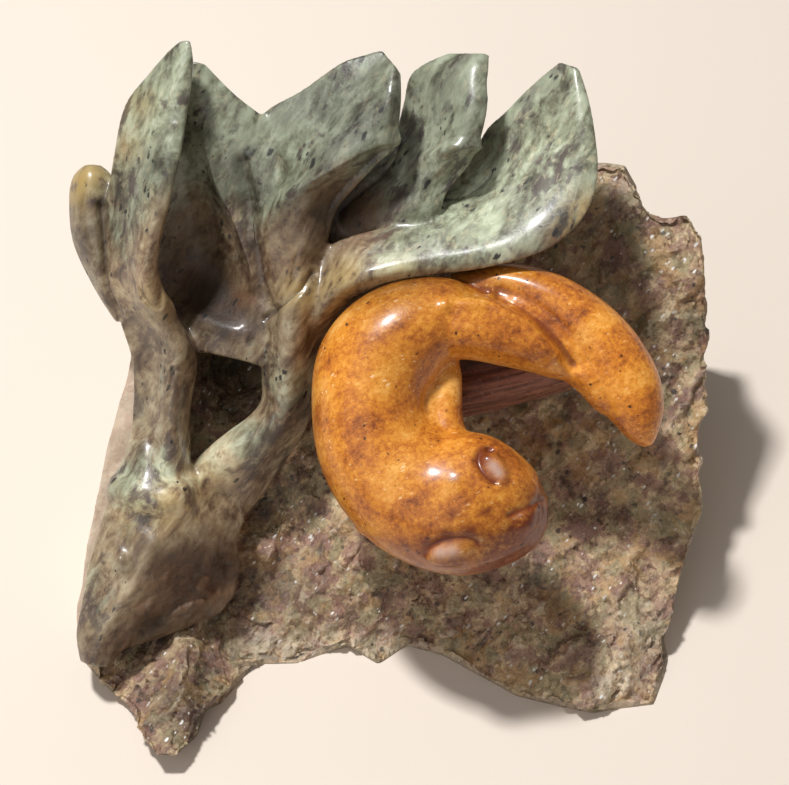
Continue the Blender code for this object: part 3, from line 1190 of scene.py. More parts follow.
@dataclass(frozen=True)
class RindFinish:
    """Rough brown rind with mauve, olive and ochre patches, dark flecks and painted white glints on its
    grains.
    """

    bark: Colour = (0.17, 0.098, 0.06)
    brown: Colour = (0.39, 0.245, 0.145)
    tan: Colour = (0.58, 0.4, 0.235)
    straw: Colour = (0.76, 0.59, 0.35)
    mauve: Colour = (0.34, 0.175, 0.135)
    olive: Colour = (0.43, 0.36, 0.195)
    ochre: Colour = (0.58, 0.35, 0.15)
    pale: Colour = (0.8, 0.68, 0.52)
    slate: Colour = (0.05, 0.045, 0.042)
    glint: Colour = (0.95, 0.93, 0.88)
    rib: Colour = (0.36, 0.145, 0.09)
    rib_dark: Colour = (0.15, 0.055, 0.034)
    sawn: Colour = (0.4, 0.32, 0.23)
    worn: Colour = (0.62, 0.5, 0.38)
    grain_deg: float = 50.0
    gloss: float = 0.26
    crystals: float = 0.9
    relief_depth: float = 0.0013

    def material(self) -> bpy.types.Material:
        """The finish as a material.

        Returns:
            The material.
        """
        stone = Stone("rind_rough")
        grain = stone.stray(stone.along(self.grain_deg, 1.7), 0.2, 4.0)
        broad = stone.noise(grain, 0.14, 4.0, 0.62)
        other = stone.noise(stone.stray(stone.place, 0.12, 5.0), 0.13, 5.0, 0.66)
        fine = stone.noise(grain, 0.7, 6.0, 0.7)
        broken = stone.stray(stone.place, 0.8, 1.0)
        cells = stone.cells(broken, self.crystals)
        chance = stone.node("ShaderNodeSeparateColor", None, {0: cells.outputs["Color"]})
        crystal = Value(stone, chance.outputs[0])
        ramp = [(0.4, self.bark), (0.465, self.brown), (0.53, self.tan), (0.61, self.straw)]
        tone = broad * 0.68 + fine * 0.32 + (crystal - 0.5) * 0.08
        stone.base = stone.ramp(ramp, tone)
        hue = stone.noise(stone.stray(stone.place, 0.3, 3.0), 0.16, 3.0, 0.6)
        stone.wash(hue, 0.53, 0.57, 0.7, self.mauve)
        stone.wash(hue, 0.46, 0.42, 0.65, self.olive)
        warm = stone.noise(stone.stray(stone.place, 0.25, 4.0), 0.11, 3.0, 0.6)
        stone.wash(warm, 0.54, 0.6, 0.6, self.ochre)
        stone.wash(other + fine * 0.5, 0.8, 0.92, 0.5, self.slate)
        stone.wash(other + fine * 0.4, 0.58, 0.46, 0.6, self.pale)
        sugar = stone.noise(stone.place, 2.6, 3.0, 0.75)
        stone.wash(sugar, 0.54, 0.66, 0.24, self.pale)
        stone.wash(sugar, 0.46, 0.34, 0.26, self.slate)
        stone.lay(stone.attribute("pale") * stone.ease(fine, 0.38, 0.56) * 0.8, self.pale)
        stone.lay(stone.attribute("slate") * stone.ease(fine, 0.7, 0.45), self.slate)
        stone.shade()
        dots = stone.specks(stone.stray(stone.place, 0.7, 1.2), 0.3, 0.3, 0.35)
        stone.lay(dots * 0.8, self.slate)
        # Painted glints: white specks laid in the base colour, where crystals would catch the light.
        glints = stone.specks(stone.stray(stone.place, 1.5, 0.5), 0.4, 0.22, 0.1)
        drawn_out = stone.stray(stone.along(self.grain_deg, 2.2), 1.5, 0.5)
        glints = glints + stone.specks(drawn_out, 0.8, 0.38, 0.3)
        stone.lay(glints * stone.ease(other, 0.6, 0.44), self.glint)
        # Slate in grooves and broad hollows, partly the rind's own dirt there and partly painted shade;
        # pale on ridges and broad crests.
        stone.wash(stone.attribute("hollow"), 0.55, 0.95, 0.32, self.slate)
        stone.wash(stone.attribute("hollow"), 0.42, 0.08, 0.2, self.pale)
        stone.wash(stone.attribute("valley"), 0.55, 1.0, 0.5, self.slate)
        stone.wash(stone.attribute("valley"), 0.4, 0.0, 0.35, self.pale)
        rib = stone.attribute("rib")
        streaks = stone.noise(stone.along(14.0, 9.0), 0.8, 4.0, 0.6)
        stone.lay(rib, stone.mix(stone.ease(streaks, 0.4, 0.62), self.rib_dark, self.rib))
        sawn = stone.attribute("sawn")
        stone.lay(sawn * 0.6, self.sawn)
        worn = stone.attribute("worn")
        marks = stone.ease(stone.noise(grain, 0.3, 4.0, 0.6), 0.4, 0.65) * 0.4
        streaked = stone.mix(marks, self.worn, self.mauve)
        stone.lay(worn * 0.85, streaked)
        stone.dress(self.gloss + 0.34 * crystal - 0.1 * glints)
        faces = stone.facets(broken, self.crystals)
        relief = 0.5 + fine * 0.4 + sugar * 0.15 + faces * 0.4 + streaks * rib * 0.4
        smooth = (1 - 0.93 * sawn) * (1 - 0.5 * rib) * (1 - 0.85 * worn)
        stone.bumps(relief * smooth, self.relief_depth, 0.85)
        return stone.material


@dataclass(frozen=True)
class OtterFinish:
    """Polished orange-brown soapstone with fine mottling and small black dots."""

    amber: Colour = (0.72, 0.27, 0.03)
    orange: Colour = (0.5, 0.15, 0.02)
    rust: Colour = (0.22, 0.055, 0.013)
    honey: Colour = (0.95, 0.5, 0.12)
    muzzle: Colour = (0.17, 0.032, 0.01)
    eye: Colour = (0.58, 0.41, 0.35)
    rim: Colour = (0.32, 0.17, 0.115)
    scratch: Colour = (1.0, 0.72, 0.4)
    fleck: Colour = (0.012, 0.006, 0.004)
    grain_deg: float = 35.0
    gloss: float = 0.25
    pore_depth: float = 0.0003
    shine: float = 0.3
    polish: float = 0.38
    polish_roughness: float = 0.16

    def material(self) -> bpy.types.Material:
        """The finish as a material.

        Returns:
            The material.
        """
        stone = Stone("otter_polished")
        stone.polish(self.polish, self.polish_roughness)
        stone.shader.inputs["Specular IOR Level"].default_value = self.shine
        grain = stone.stray(stone.along(self.grain_deg, 2.0), 0.2, 3.0)
        broad = stone.noise(grain, 0.1, 4.0, 0.6)
        fine = stone.noise(stone.stray(stone.place, 0.6, 1.2), 0.75, 5.0, 0.72)
        ramp = [(0.365, self.rust), (0.455, self.orange), (0.535, self.amber), (0.67, self.honey)]
        stone.base = stone.ramp(ramp, broad * 0.6 + fine * 0.4)
        flakes = stone.noise(grain, 2.0, 3.0, 0.75)
        stone.wash(flakes, 0.58, 0.72, 0.5, self.honey)
        stone.wash(flakes, 0.43, 0.32, 0.5, self.rust)
        scuffs = stone.specks(stone.stray(stone.along(20.0, 2.5), 1.3, 0.8), 0.9, 0.3, 0.4)
        stone.lay(scuffs * stone.ease(broad, 0.4, 0.55) * 0.6, self.scratch)
        patchy = 0.35 + 0.65 * stone.ease(broad * 0.4 + fine * 0.6, 0.72, 0.42)
        stone.lay(stone.attribute("muzzle") * patchy, self.muzzle)
        stone.shade()
        # Pinkish grey along the underside of the head: partly the stone's own colour and partly painted
        # reflection of the pale floor.
        stone.lay(stone.attribute("rim") * 0.55, self.rim)
        # Pale eye colour: partly the eyes' own paler stone and partly painted highlight.
        stone.lay(stone.attribute("eye") * 0.75, self.eye)
        stone.lay(stone.attribute("line") * 0.75, self.muzzle)
        flocks = stone.ease(stone.noise(stone.place, 0.2, 2.0), 0.4, 0.6)
        flecks = stone.specks(stone.stray(stone.place, 1.1, 1.0), 0.42, 0.28, 0.42) * flocks
        stone.lay(flecks * 0.9, self.fleck)
        # Muzzle red-brown in grooves and broad hollows: partly the stone's own patina there and partly
        # painted shade.
        stone.wash(stone.attribute("hollow"), 0.58, 0.95, 0.75, self.muzzle)
        stone.wash(stone.attribute("valley"), 0.6, 1.0, 0.5, self.muzzle)
        stone.dress(self.gloss + 0.2 * flakes + 0.25 * flecks)
        pores = stone.noise(stone.place, 0.7, 4.0, 0.65) * 0.6 + flakes * 0.4
        stone.bumps(pores, self.pore_depth, 0.3)
        return stone.material


@dataclass
class Otter:
    """The otter, curled round its own foreleg: one body from rump to nose, with its limbs."""

    body: RoundForm = RoundForm((
        (24, 18, 28, 5, 6), (18, 18, 29, 8, 9), (10, 17, 29, 11, 12.5), (2, 13, 29, 13.5, 14.5),
        (-4, 6, 29, 14.6, 15), (-5.5, -4, 29, 14.2, 15), (-3, -14, 30, 15, 15), (4, -22, 32, 16.3, 15),
        (12, -25.5, 34, 17, 15), (20, -26.5, 35, 16.6, 14.5), (27.5, -27.5, 35, 13.4, 12.5),
        (33, -28, 35, 9, 8.5), (36, -28, 35, 3.5, 3.5),
    ))
    tail: RoundForm = RoundForm((
        (14, 23, 24, 6, 6), (26, 25.5, 26, 5.5, 7), (36, 22.7, 28, 6.2, 8), (44.5, 17, 29, 7, 8.5),
        (51, 10, 29, 7.6, 8.5), (55.2, 2, 28, 8.2, 7.8), (57.8, -4.2, 27.5, 6.8, 6.6),
        (59.2, -8.8, 27.2, 4.6, 4.8), (60.2, -11.6, 27, 2.4, 2.8), (60.6, -12.8, 27, 0.9, 1.1),
    ))
    hind_leg: RoundForm = RoundForm((
        (8, 16, 31, 8.5, 9), (18, 16, 32, 8.3, 9), (27, 13.5, 32, 7.5, 8.5), (34, 10.5, 31.5, 6.2, 7.5),
        (38.5, 7.4, 30.5, 4.6, 6), (42, 4.6, 29.5, 2.4, 4),
    ))
    thigh_fold: RoundForm = RoundForm((
        (31, 11, 28, 5, 6), (37, 9.2, 28.5, 5, 6), (42.5, 7.2, 28.5, 5, 6.2), (47, 3.4, 28.5, 4.6, 6.2),
        (50.3, -1.2, 28, 3.9, 5.2), (52.5, -4, 27.5, 2.6, 3.6),
    ))
    saddle: RoundForm = RoundForm((
        (22, 22, 28, 4, 7), (28, 20.2, 28.6, 4.5, 7.2), (34, 16.6, 29.2, 4.5, 7.2),
        (39.5, 11.6, 29.6, 4.5, 6.8), (44, 6.8, 29, 4.2, 6), (47.5, 2.4, 28, 3.4, 4.5),
    ))
    foreleg: RoundForm = RoundForm((
        (9, 9, 27, 6, 6), (11.2, 3.5, 28.5, 4.9, 5.4), (11.9, -2, 29.5, 4.2, 5.4),
        (12.2, -7, 30.5, 4.2, 5.6), (13, -13, 32, 5, 6),
    ))
    armpit: RoundForm = RoundForm((
        (8.6, 8, 28, 3.4, 6.4), (8.2, 1, 28.8, 3.4, 6), (8.4, -5, 29.6, 3.4, 6), (10, -12, 31, 3.6, 6.4),
    ))
    paw: RoundForm = RoundForm((
        (-9, -28, 20, 2, 2), (-7, -31.4, 19.5, 2.8, 3.2), (-4, -34, 20, 2.2, 2.8),
    ))
    knobs: tuple[Knob, ...] = (
        Knob(23.1, -17.4, 44.0, -46, 5.4, 3.0),
        Knob(13.2, -36.3, 42.8, 11, 7.0, 4.3),
        Knob(28.6, -28.6, 41.2, -10, 5.2, 6.0),
    )
    voxel: float = 0.42
    softening: int = 8
    strokes: int = 24
    most_triangles: int = MOST_TRIANGLES
    lid_depth: float = 0.8
    eye_height: float = 40.0
    darkest: float = -0.65
    hollow: tuple[int, float] = (10, 0.2)
    valley: tuple[int, float] = (90, 1.5)
    joints: Stains = spots(
        (10, 5, 6, 0.9), (13, -11, 7, 1.0), (4, 20, 8, 0.7), (42, 5, 6, 1.0), (34, 16, 7, 0.4),
        (23, -18, 10, 0.6), (22, -33, 12, 0.6),
    )
    cuts: tuple[Cut, ...] = (
        Cut(((24.4, 23.3), (29, 21.2), (33.8, 17.6), (39.0, 11.6), (42.0, 6.6)), 1.7, -1.5, 20),
        Cut(((17, 24.6), (21, 24.2), (26, 22.8)), 2.2, -0.7, 20),
        Cut(((12, 20.6), (22, 20.6), (30.5, 15.6), (37, 8.6)), 1.6, 1.1, 30),
        Cut(((14.2, -19.6), (13.8, -20.6)), 2.6, 0.5, 36),
        Cut(((7.2, 6), (7.0, 2), (7.8, -4)), 1.6, -0.3, 24),
        Cut(((25.5, -31.6), (29.5, -30.4)), 2.6, 0.4, 34),
    )
    lids: tuple[Cut, ...] = (
        Cut(oval(23.1, -17.3, -46, 4.7, 2.7, (150, 300)), 0.9, -0.8, 36),
        Cut(oval(23.1, -17.3, -46, 4.7, 2.7, (10, 140)), 0.8, -0.35, 36),
        Cut(((21.7, -13.1), (22.7, -13.3)), 0.9, -0.8, 36, edge=Edge.SHARP),
        Cut(oval(13.2, -36.4, 11, 6.2, 2.7, (10, 172)), 0.95, -0.75, 33),
        Cut(oval(13.2, -36.4, 11, 6.2, 2.7, (195, 345)), 0.9, -0.22, 33),
        Cut(((26.5, -28.4), (29.5, -27), (32.2, -26), (34.2, -24.6)), 0.9, -0.6, 33),
        Cut(((34.8, -25), (35.4, -28), (34.2, -32.6), (31, -36.6), (26, -39.4)), 1.0, -0.3, 26),
        Cut(((26, -39.4), (18, -42), (9, -41), (2, -37)), 1.0, -0.25, 26),
    )
    muzzle: Stains = spots(
        (29, -34, 5.5, 1.4), (24, -38.5, 4.5, 1.1), (34, -29.5, 4.5, 1.3), (20.3, -14.9, 1.7, 1.3),
        (25.6, -20.8, 1.3, 0.8), (7, -34.2, 2.0, 0.8), (12, -32.6, 2.0, 1.0), (17, -32.2, 2.2, 1.0),
        (20.4, -34.2, 2.0, 1.0), (14, -40.4, 3.2, 0.7), (31.5, -23.5, 3, 0.6), (13.2, -27.9, 1.2, 0.9),
        (21, -27.2, 1.2, 0.8), (13.4, -19.4, 1.2, 0.9), (14, -44, 7, 0.6), (24, -42, 5, 0.8),
        (3, -40, 6, 0.5),
    )
    # Where the eyes are pale; the spots sit where their highlights fall, so this is partly painted
    # highlight.
    eye_and_highlight_spots: Stains = spots(
        (22.7, -16.8, 1.3, 1.0), (24.0, -18.5, 1.3, 1.0), (10.4, -37.0, 1.7, 0.9), (13.4, -36.6, 1.7, 0.9),
    )
    # The head's lower rim, partly its own colour and partly painted reflection of the pale floor.
    rim: Stains = spots(
        (-2, -38.5, 3.5, 0.6), (3, -41.5, 3.5, 0.8), (9, -43.5, 3.2, 1.0), (15, -44.6, 3.0, 1.0),
        (21, -44.2, 3.0, 0.9),
    )
    # Lighter and darker tone of the otter; the dark spots along the top of the back, at up 20 to 30, are
    # painted shadow of the long blade above it.
    light: Stains = spots(
        (54, 6, 13, 0.3), (-12, 0, 9, 0.1), (-19, -4, 5, -0.15), (22, -28, 15, -0.12), (5, 26, 7, -0.3),
        (20, 29, 7, -0.35), (-10, 22.5, 3.5, -0.35), (-4, 25.5, 3.5, -0.4), (2.5, 27.8, 3.5, -0.4),
        (10, 29, 3.5, -0.4), (17, 29.5, 3.5, -0.35), (33, 29, 5, -0.2), (-3, 20, 6, -0.2),
        (0, 12, 9, -0.12),
    )

    def shape(self) -> Block:
        """The otter, fused and carved.

        Returns:
            The finished block.
        """
        legs = (self.hind_leg, self.foreleg, self.paw)
        limbs = (self.tail, *legs, self.thigh_fold, self.saddle, self.armpit)
        block = Block("otter_carving", (self.body, *limbs, *self.knobs))
        block.fuse(self.voxel, self.softening)
        block.soothe(self.strokes, self.joints)
        block.carve(self.cuts + self.lids)
        block.thin(self.most_triangles)
        block.mark("line", block.grooved(self.lids, self.lid_depth))
        block.shade(self.light, self.darkest)
        block.stain("muzzle", self.muzzle)
        block.stain("eye", self.eye_and_highlight_spots, lowest=self.eye_height)
        block.stain("rim", self.rim)
        block.mark_hollows("hollow", *self.hollow)
        block.mark_hollows("valley", *self.valley)
        return block


@dataclass
class Kelp:
    """The polished kelp: two stems out of a lump, with a web between them and four leaves."""

    lump: FlatForm = FlatForm((
        ((-64, -4, 8), (-53, -6, 8), 3, 14), ((-66, -14, 11), (-50, -17, 8), 7, 18),
        ((-70, -26, 12), (-38, -28, 6), 9, 20), ((-73, -35, 12), (-38.5, -35, 8), 9, 20),
        ((-75, -42, 12), (-42.5, -42, 9), 8, 19), ((-76.5, -51, 12), (-54, -52, 12), 6, 18),
        ((-78, -59, 12), (-63.5, -60, 14), 4.5, 16), ((-77, -66, 12), (-70, -67, 15), 3, 12),
    ), Crest.ROUNDED)
    heel: FlatForm = FlatForm((
        ((-64, -36, 6), (-40, -35, 5), 5, 9), ((-64, -43, 6), (-38.5, -42, 5), 6, 9),
        ((-65, -50, 7), (-39.5, -49, 5), 6, 9), ((-67, -56, 8), (-43, -54.5, 5.5), 5, 9),
        ((-69, -60, 9), (-52, -58.5, 7), 4, 9), ((-71, -63.5, 11), (-62, -62, 9), 2.5, 9),
    ), Crest.EVEN)
    left_blade: FlatForm = FlatForm((
        ((-68, -32, 5), (-50, -30, 5), 5, 12), ((-66, -20, 9), (-50, -17, 11), 7, 14),
        ((-64, -4, 13), (-50, -5, 14), 8, 16), ((-64, 8, 16), (-48, 9, 19), 7, 16),
        ((-67, 19, 19), (-53, 20, 26), 6, 16), ((-69, 31, 21), (-56, 30, 33), 5, 16),
        ((-69, 44, 24), (-53, 44, 37), 4, 15), ((-67, 57, 27), (-50, 56, 39), 3.5, 13),
        ((-64, 68, 31), (-48, 68, 40), 3, 10), ((-58, 75, 35), (-47, 76, 40), 2, 7),
        ((-53, 80, 38), (-47.2, 79.6, 40), 1, 3.5), ((-50, 82.3, 39.5), (-47.6, 82.2, 40), 0.4, 1.2),
    ), Crest.FOLDED)
    rolled_leaf: FlatForm = FlatForm((
        ((-68, 17, 14), (-63, 19, 17), 2, 3), ((-73, 25, 15), (-64, 26, 19), 4, 5),
        ((-78, 36, 17), (-66, 37, 21), 5, 7), ((-79, 46, 18), (-67, 46, 21), 5, 7),
        ((-78, 52, 19), (-68, 52, 21), 4, 6), ((-75, 55, 20), (-71, 55, 20), 2, 3),
    ), Crest.ROUNDED)
    web: FlatForm = FlatForm((
        ((-52, 11, 14), (-31, 6.5, 18), 3, 8), ((-55, 16, 14), (-30, 14, 22), 1, 12),
        ((-59, 25, 13), (-28, 23, 25), -5, 15), ((-60, 34, 14), (-28, 32, 27), -6, 17),
        ((-60, 45, 18), (-26, 43, 29), -4, 17), ((-58, 55, 23), (-25, 52, 29), 0, 15),
        ((-55, 65, 27), (-26, 61, 27), 1.5, 12), ((-53, 73, 29), (-38, 71, 29), 1, 8),
        ((-50, 79, 30), (-45, 78, 31), 0.5, 5),
    ), Crest.DISHED)
    right_stem: FlatForm = FlatForm((
        ((-57, -27, 9), (-43, -37, 4), 3, 12), ((-51, -19, 9), (-34, -27, 3), 5, 14),
        ((-44.5, -12.5, 10), (-27, -17, 5), 7, 16), ((-33.6, -3.5, 12), (-21.5, -8, 9), 8, 18),
        ((-32.5, 4.5, 15.5), (-19, 2, 13), 8, 19), ((-32, 15, 20), (-16, 14, 18), 8, 22),
        ((-32, 25, 23), (-15, 24, 22), 7, 22), ((-33, 36, 24), (-18, 34, 23), 5, 20),
        ((-34, 48, 23), (-22, 46, 22), 3, 17), ((-33, 58, 18), (-25, 57, 18), 1, 10),
    ), Crest.EVEN)
    near_leaf: FlatForm = FlatForm((
        ((-34, 36, 24), (-22, 22, 22), 6, 14), ((-36, 50, 25), (-17, 33, 24), 7, 14),
        ((-35, 60, 26), (-14, 43, 27), 7, 12), ((-31, 67, 27), (-9, 49, 31), 7, 10),
        ((-22, 72, 29), (-4, 54, 34), 6, 9), ((-13, 78, 31), (0, 58, 36), 5, 8),
        ((-7, 80, 32), (1.5, 67, 37), 3.5, 6), ((-3, 81, 33), (1.5, 75, 35), 2, 4),
    ), Crest.FOLDED)
    middle_leaf: FlatForm = FlatForm((
        ((-17, 36, 18), (8, 38, 23), 2, 6), ((-17.5, 43, 19), (11, 43.5, 27), 3, 9),
        ((-15, 49, 18), (13, 48.5, 27), 4, 9), ((-9, 54, 17), (18, 54.5, 29), 5, 9),
        ((-1, 61, 17), (20.5, 60.5, 32), 5, 8), ((2, 69.5, 19), (22, 67.5, 33), 4, 7),
        ((3.5, 76, 21), (22, 73.5, 32), 3, 6), ((7, 79, 23), (22.4, 77, 31), 2.5, 5),
        ((13, 81.4, 25), (22.6, 80.4, 29.5), 1.5, 3),
    ), Crest.FOLDED)
    long_blade: FlatForm = FlatForm((
        ((-33, 17, 15), (-21, 4, 13), 5, 12), ((-28, 26, 20), (-17, 13, 19), 6, 12),
        ((-20.5, 33, 23), (-12, 20.5, 24), 6, 11), ((-13, 36.5, 25), (-6, 24, 28.5), 5.5, 10),
        ((-4, 39, 26), (0, 26, 31), 4, 9), ((7, 42, 25.5), (10, 28, 32.4), 3.2, 9),
        ((11, 46, 23), (19, 29, 33.6), 3.4, 9), ((14, 52, 18), (30, 31.5, 35), 3.5, 9),
        ((19.5, 59, 18), (38, 35, 35), 3, 8), ((22.5, 64, 19), (45, 42, 35), 2.5, 8),
        ((27, 68, 21), (48, 51, 34), 2.5, 7), ((31.5, 72.5, 23), (47.5, 61, 33), 2.5, 6),
        ((35.5, 76, 25), (46, 70, 31), 2, 4.5), ((39.5, 79, 27), (44, 77, 29), 1, 2.5),
    ), Crest.FOLDED)
    voxel: float = 0.46
    softening: int = 6
    strokes: int = 20
    most_triangles: int = MOST_TRIANGLES
    darkest: float = -0.82
    hollow: tuple[int, float] = (14, 0.35)
    valley: tuple[int, float] = (120, 2.5)
    cuts: tuple[Cut, ...] = (
        Cut(
            ((1.5, 59.8), (-6.3, 57), (-17, 51.2), (-25.4, 46.3), (-29.5, 41)),
            3.0, 1.6, 20, edge=Edge.SHARP,
        ),
        Cut(((-3, 53), (-11, 48), (-19, 41.5), (-26, 33), (-27, 27)), 4.4, -2.1, 20),
        Cut(((23, 58.6), (14.3, 58.2), (8, 55.6)), 2.4, 1.5, 22, edge=Edge.SHARP),
        Cut(((20, 52.5), (10, 49.5)), 3.6, -1.4, 22),
        Cut(((-9, 33.5), (0, 35), (10, 37)), 3.2, 1.1, 22),
        Cut(
            ((-45.5, 60), (-42.5, 51), (-37.8, 41.7), (-34.6, 33), (-32.8, 26)),
            3.2, 1.9, 8, 34, Edge.SHARP,
        ),
        Cut(((-50, 62), (-50, 48), (-47, 36), (-41, 27)), 4.5, -1.6, 4, 33),
        Cut(((-36.4, 55), (-34.6, 42), (-31.8, 25), (-29.6, 18.5)), 1.5, -1.5, 14),
        Cut(((-31, 18), (-22, 24.5), (-19.5, 28.5)), 1.4, -1.0, 12, edge=Edge.SHARP),
        Cut(((-52, 66), (-54, 56), (-57, 45), (-59.5, 33)), 2.6, -0.6, 24),
        Cut(((-51.6, 64.8), (-51.2, 64.2)), 1.3, -0.6, 24),
        Cut(((-56.2, 53), (-56, 52)), 1.6, -0.7, 24),
        Cut(((-70.2, 45), (-69.6, 36), (-69.6, 24.6), (-67, 18)), 1.6, -1.5, 8, edge=Edge.SHARP),
        Cut(((-59.6, 22.7), (-46, 17.8), (-38, 14.3), (-33, 9)), 2.2, 0.9, 10, 30),
        Cut(((-66, -40.5), (-65.9, -42.3)), 2.0, 1.5, 12),
        Cut(((-67, -23), (-61, -23.5), (-53, -26)), 3.6, 1.7, 8),
        Cut(((-66.5, -33.5), (-62, -44)), 2.2, -0.7, 12),
        Cut(((-68, -24), (-57, -27.5), (-47, -20), (-38, -12)), 3.0, 0.9, 8),
        Cut(((-60, -31), (-50, -33), (-42, -25)), 3.0, -0.9, 8),
        Cut(((-58, -52), (-50, -45), (-44, -37)), 3.0, 0.9, 4),
        Cut(((-62, -58), (-54, -52.5), (-47, -50.5)), 1.3, -0.7, 4),
        Cut(((-49, -56), (-45, -50), (-41.5, -43)), 1.2, -0.6, 4),
        Cut(((-56, -55), (-50, -52), (-46, -46)), 1.2, 0.5, 4),
        Cut(((-70, -57), (-63, -47), (-58, -37)), 2.0, 0.6, 8),
    )
    # Where the kelp is green; the spot under zero at (-14, 43) takes the green out below the near leaf as
    # part of its painted shade.
    leafy: Stains = spots(
        (-52, 78, 14, 0.8), (-56, 57, 14, 0.7), (-60, 40, 12, 0.4), (-38, 62, 11, 0.7), (-4, 74, 16, 0.9),
        (-23, 59, 14, 0.8), (-30, 48, 10, 0.5), (15, 76, 16, 0.9), (4, 50, 12, 0.5), (40, 72, 20, 1.0),
        (37, 46, 14, 0.7), (18, 40, 14, 0.9), (-2, 33, 10, 0.6), (-60, -23, 12, 0.6), (-48, -46, 12, -0.9),
        (-46, 38, 9, -0.4), (-14, 43, 8, -0.9), (-25, 33, 7, -0.5), (14, 50, 5, -0.4), (-36, -12, 9, 0.5),
        (-24, 5, 9, 0.4), (-70, -48, 9, 0.3),
    )
    # Lighter and darker tone of the kelp; the dark spots in the web's hollow and between the near leaf and
    # the long blade are painted shade.
    light: Stains = spots(
        (-54, 66, 14, 0.42), (-60, 36, 10, 0.35), (38, 58, 18, 0.6), (18, 40, 13, 0.7), (16, 66, 9, -0.35),
        (38, 40, 7, -0.3), (34, 54, 9, 0.15), (-3, 32, 8, 0.6), (-59, -24, 9, 1.1), (-52, -27, 6, 0.3),
        (-42, -17, 8, 0.8), (-69, -44, 8, 0.35), (-60, -57, 5.5, -0.6), (-66, -64, 4, -0.5),
        (-49, -52, 8, -0.3), (-49, 24, 6, -0.3), (-62, 26, 7, 0.4), (-26, 5, 8, 0.3), (-54, -44, 9, -0.4),
        (-46, -36, 8, -0.3), (-47, 38, 8, -0.3), (-44, 25, 8, -0.65), (-41, 17.5, 6, -0.6),
        (-33, 17.5, 4, -0.4), (-73, 38, 8, -0.45), (-37.5, 54, 3.5, -0.5), (-36, 46, 3.5, -0.5),
        (-34, 37, 3.5, -0.4), (-55.4, 53.3, 3, -0.7), (-12, 66, 13, -0.4), (-41, -44, 5, -0.5),
        (-15, 45, 6, -0.3), (-8, 42.5, 6.5, -0.5), (13, 45, 4, -0.3), (-53, -40, 7, -0.2),
        (-65.8, -41.6, 2.5, -0.5), (-20, 40, 9, -0.4), (4, 44, 6, -0.3),
    )
    chipped: Stains = spots(
        (-46, -49, 8, 0.9), (-54, -44, 7, 0.8), (-42, -40, 6, 0.6), (-60, -55, 6, 0.9), (-66, -63, 4, 0.7),
    )
    chip_size: float = 4.5
    chip_depth: float = 0.9
    # Rust brown, thin polish and rough stone: on the heel and the long blade's rim it is the stone's own;
    # the spots at (-48, 26), (-39, 21) and (-52, 40) in the web's hollow, and at (-8, 42), (-18, 38) and
    # (-26, 32) beside and under the near leaf, are painted shade.
    rusty: Stains = spots(
        (-18, 38, 8, 0.3), (-26, 32, 7, 0.3), (-48, 26, 8, 0.9), (-39, 21, 6, 0.9), (-8, 42, 7, 0.8),
        (30, 30, 4.5, 0.4), (39, 35.5, 4.5, 0.6), (46, 43, 4, 0.5), (-52, 40, 6, 0.4),
    )
    ochre: Stains = spots(
        (-78, 49, 5, 1.0), (-73, 53, 4, 0.7), (-63, 58, 4, 0.35), (-60, 68, 4, 0.3), (-57, 22, 5, 0.4),
        (-22, 24, 5, 0.7), (-12, 27, 5, 0.6), (44, 40, 6, 0.7), (2, 26, 5, 0.6), (-62, -31, 5, 0.35),
        (-54, -28, 5, 0.4), (-45, -21, 5, 0.3),
    )

    def shape(self) -> Block:
        """The kelp, fused and carved.

        Returns:
            The finished block.
        """
        stems = (self.lump, self.heel, self.left_blade, self.rolled_leaf, self.web, self.right_stem)
        leaves = (self.near_leaf, self.middle_leaf, self.long_blade)
        block = Block("kelp_carving", stems + leaves)
        block.fuse(self.voxel, self.softening)
        block.soothe(self.strokes)
        block.carve(self.cuts)
        block.chip(self.chipped, self.chip_size, self.chip_depth)
        block.thin(self.most_triangles)
        block.stain("ochre", self.ochre)
        block.stain("rusty", self.chipped + self.rusty)
        block.stain("leafy", self.leafy, -1.0)
        block.shade(self.light, self.darkest)
        block.mark_hollows("hollow", *self.hollow)
        block.mark_hollows("valley", *self.valley)
        return block


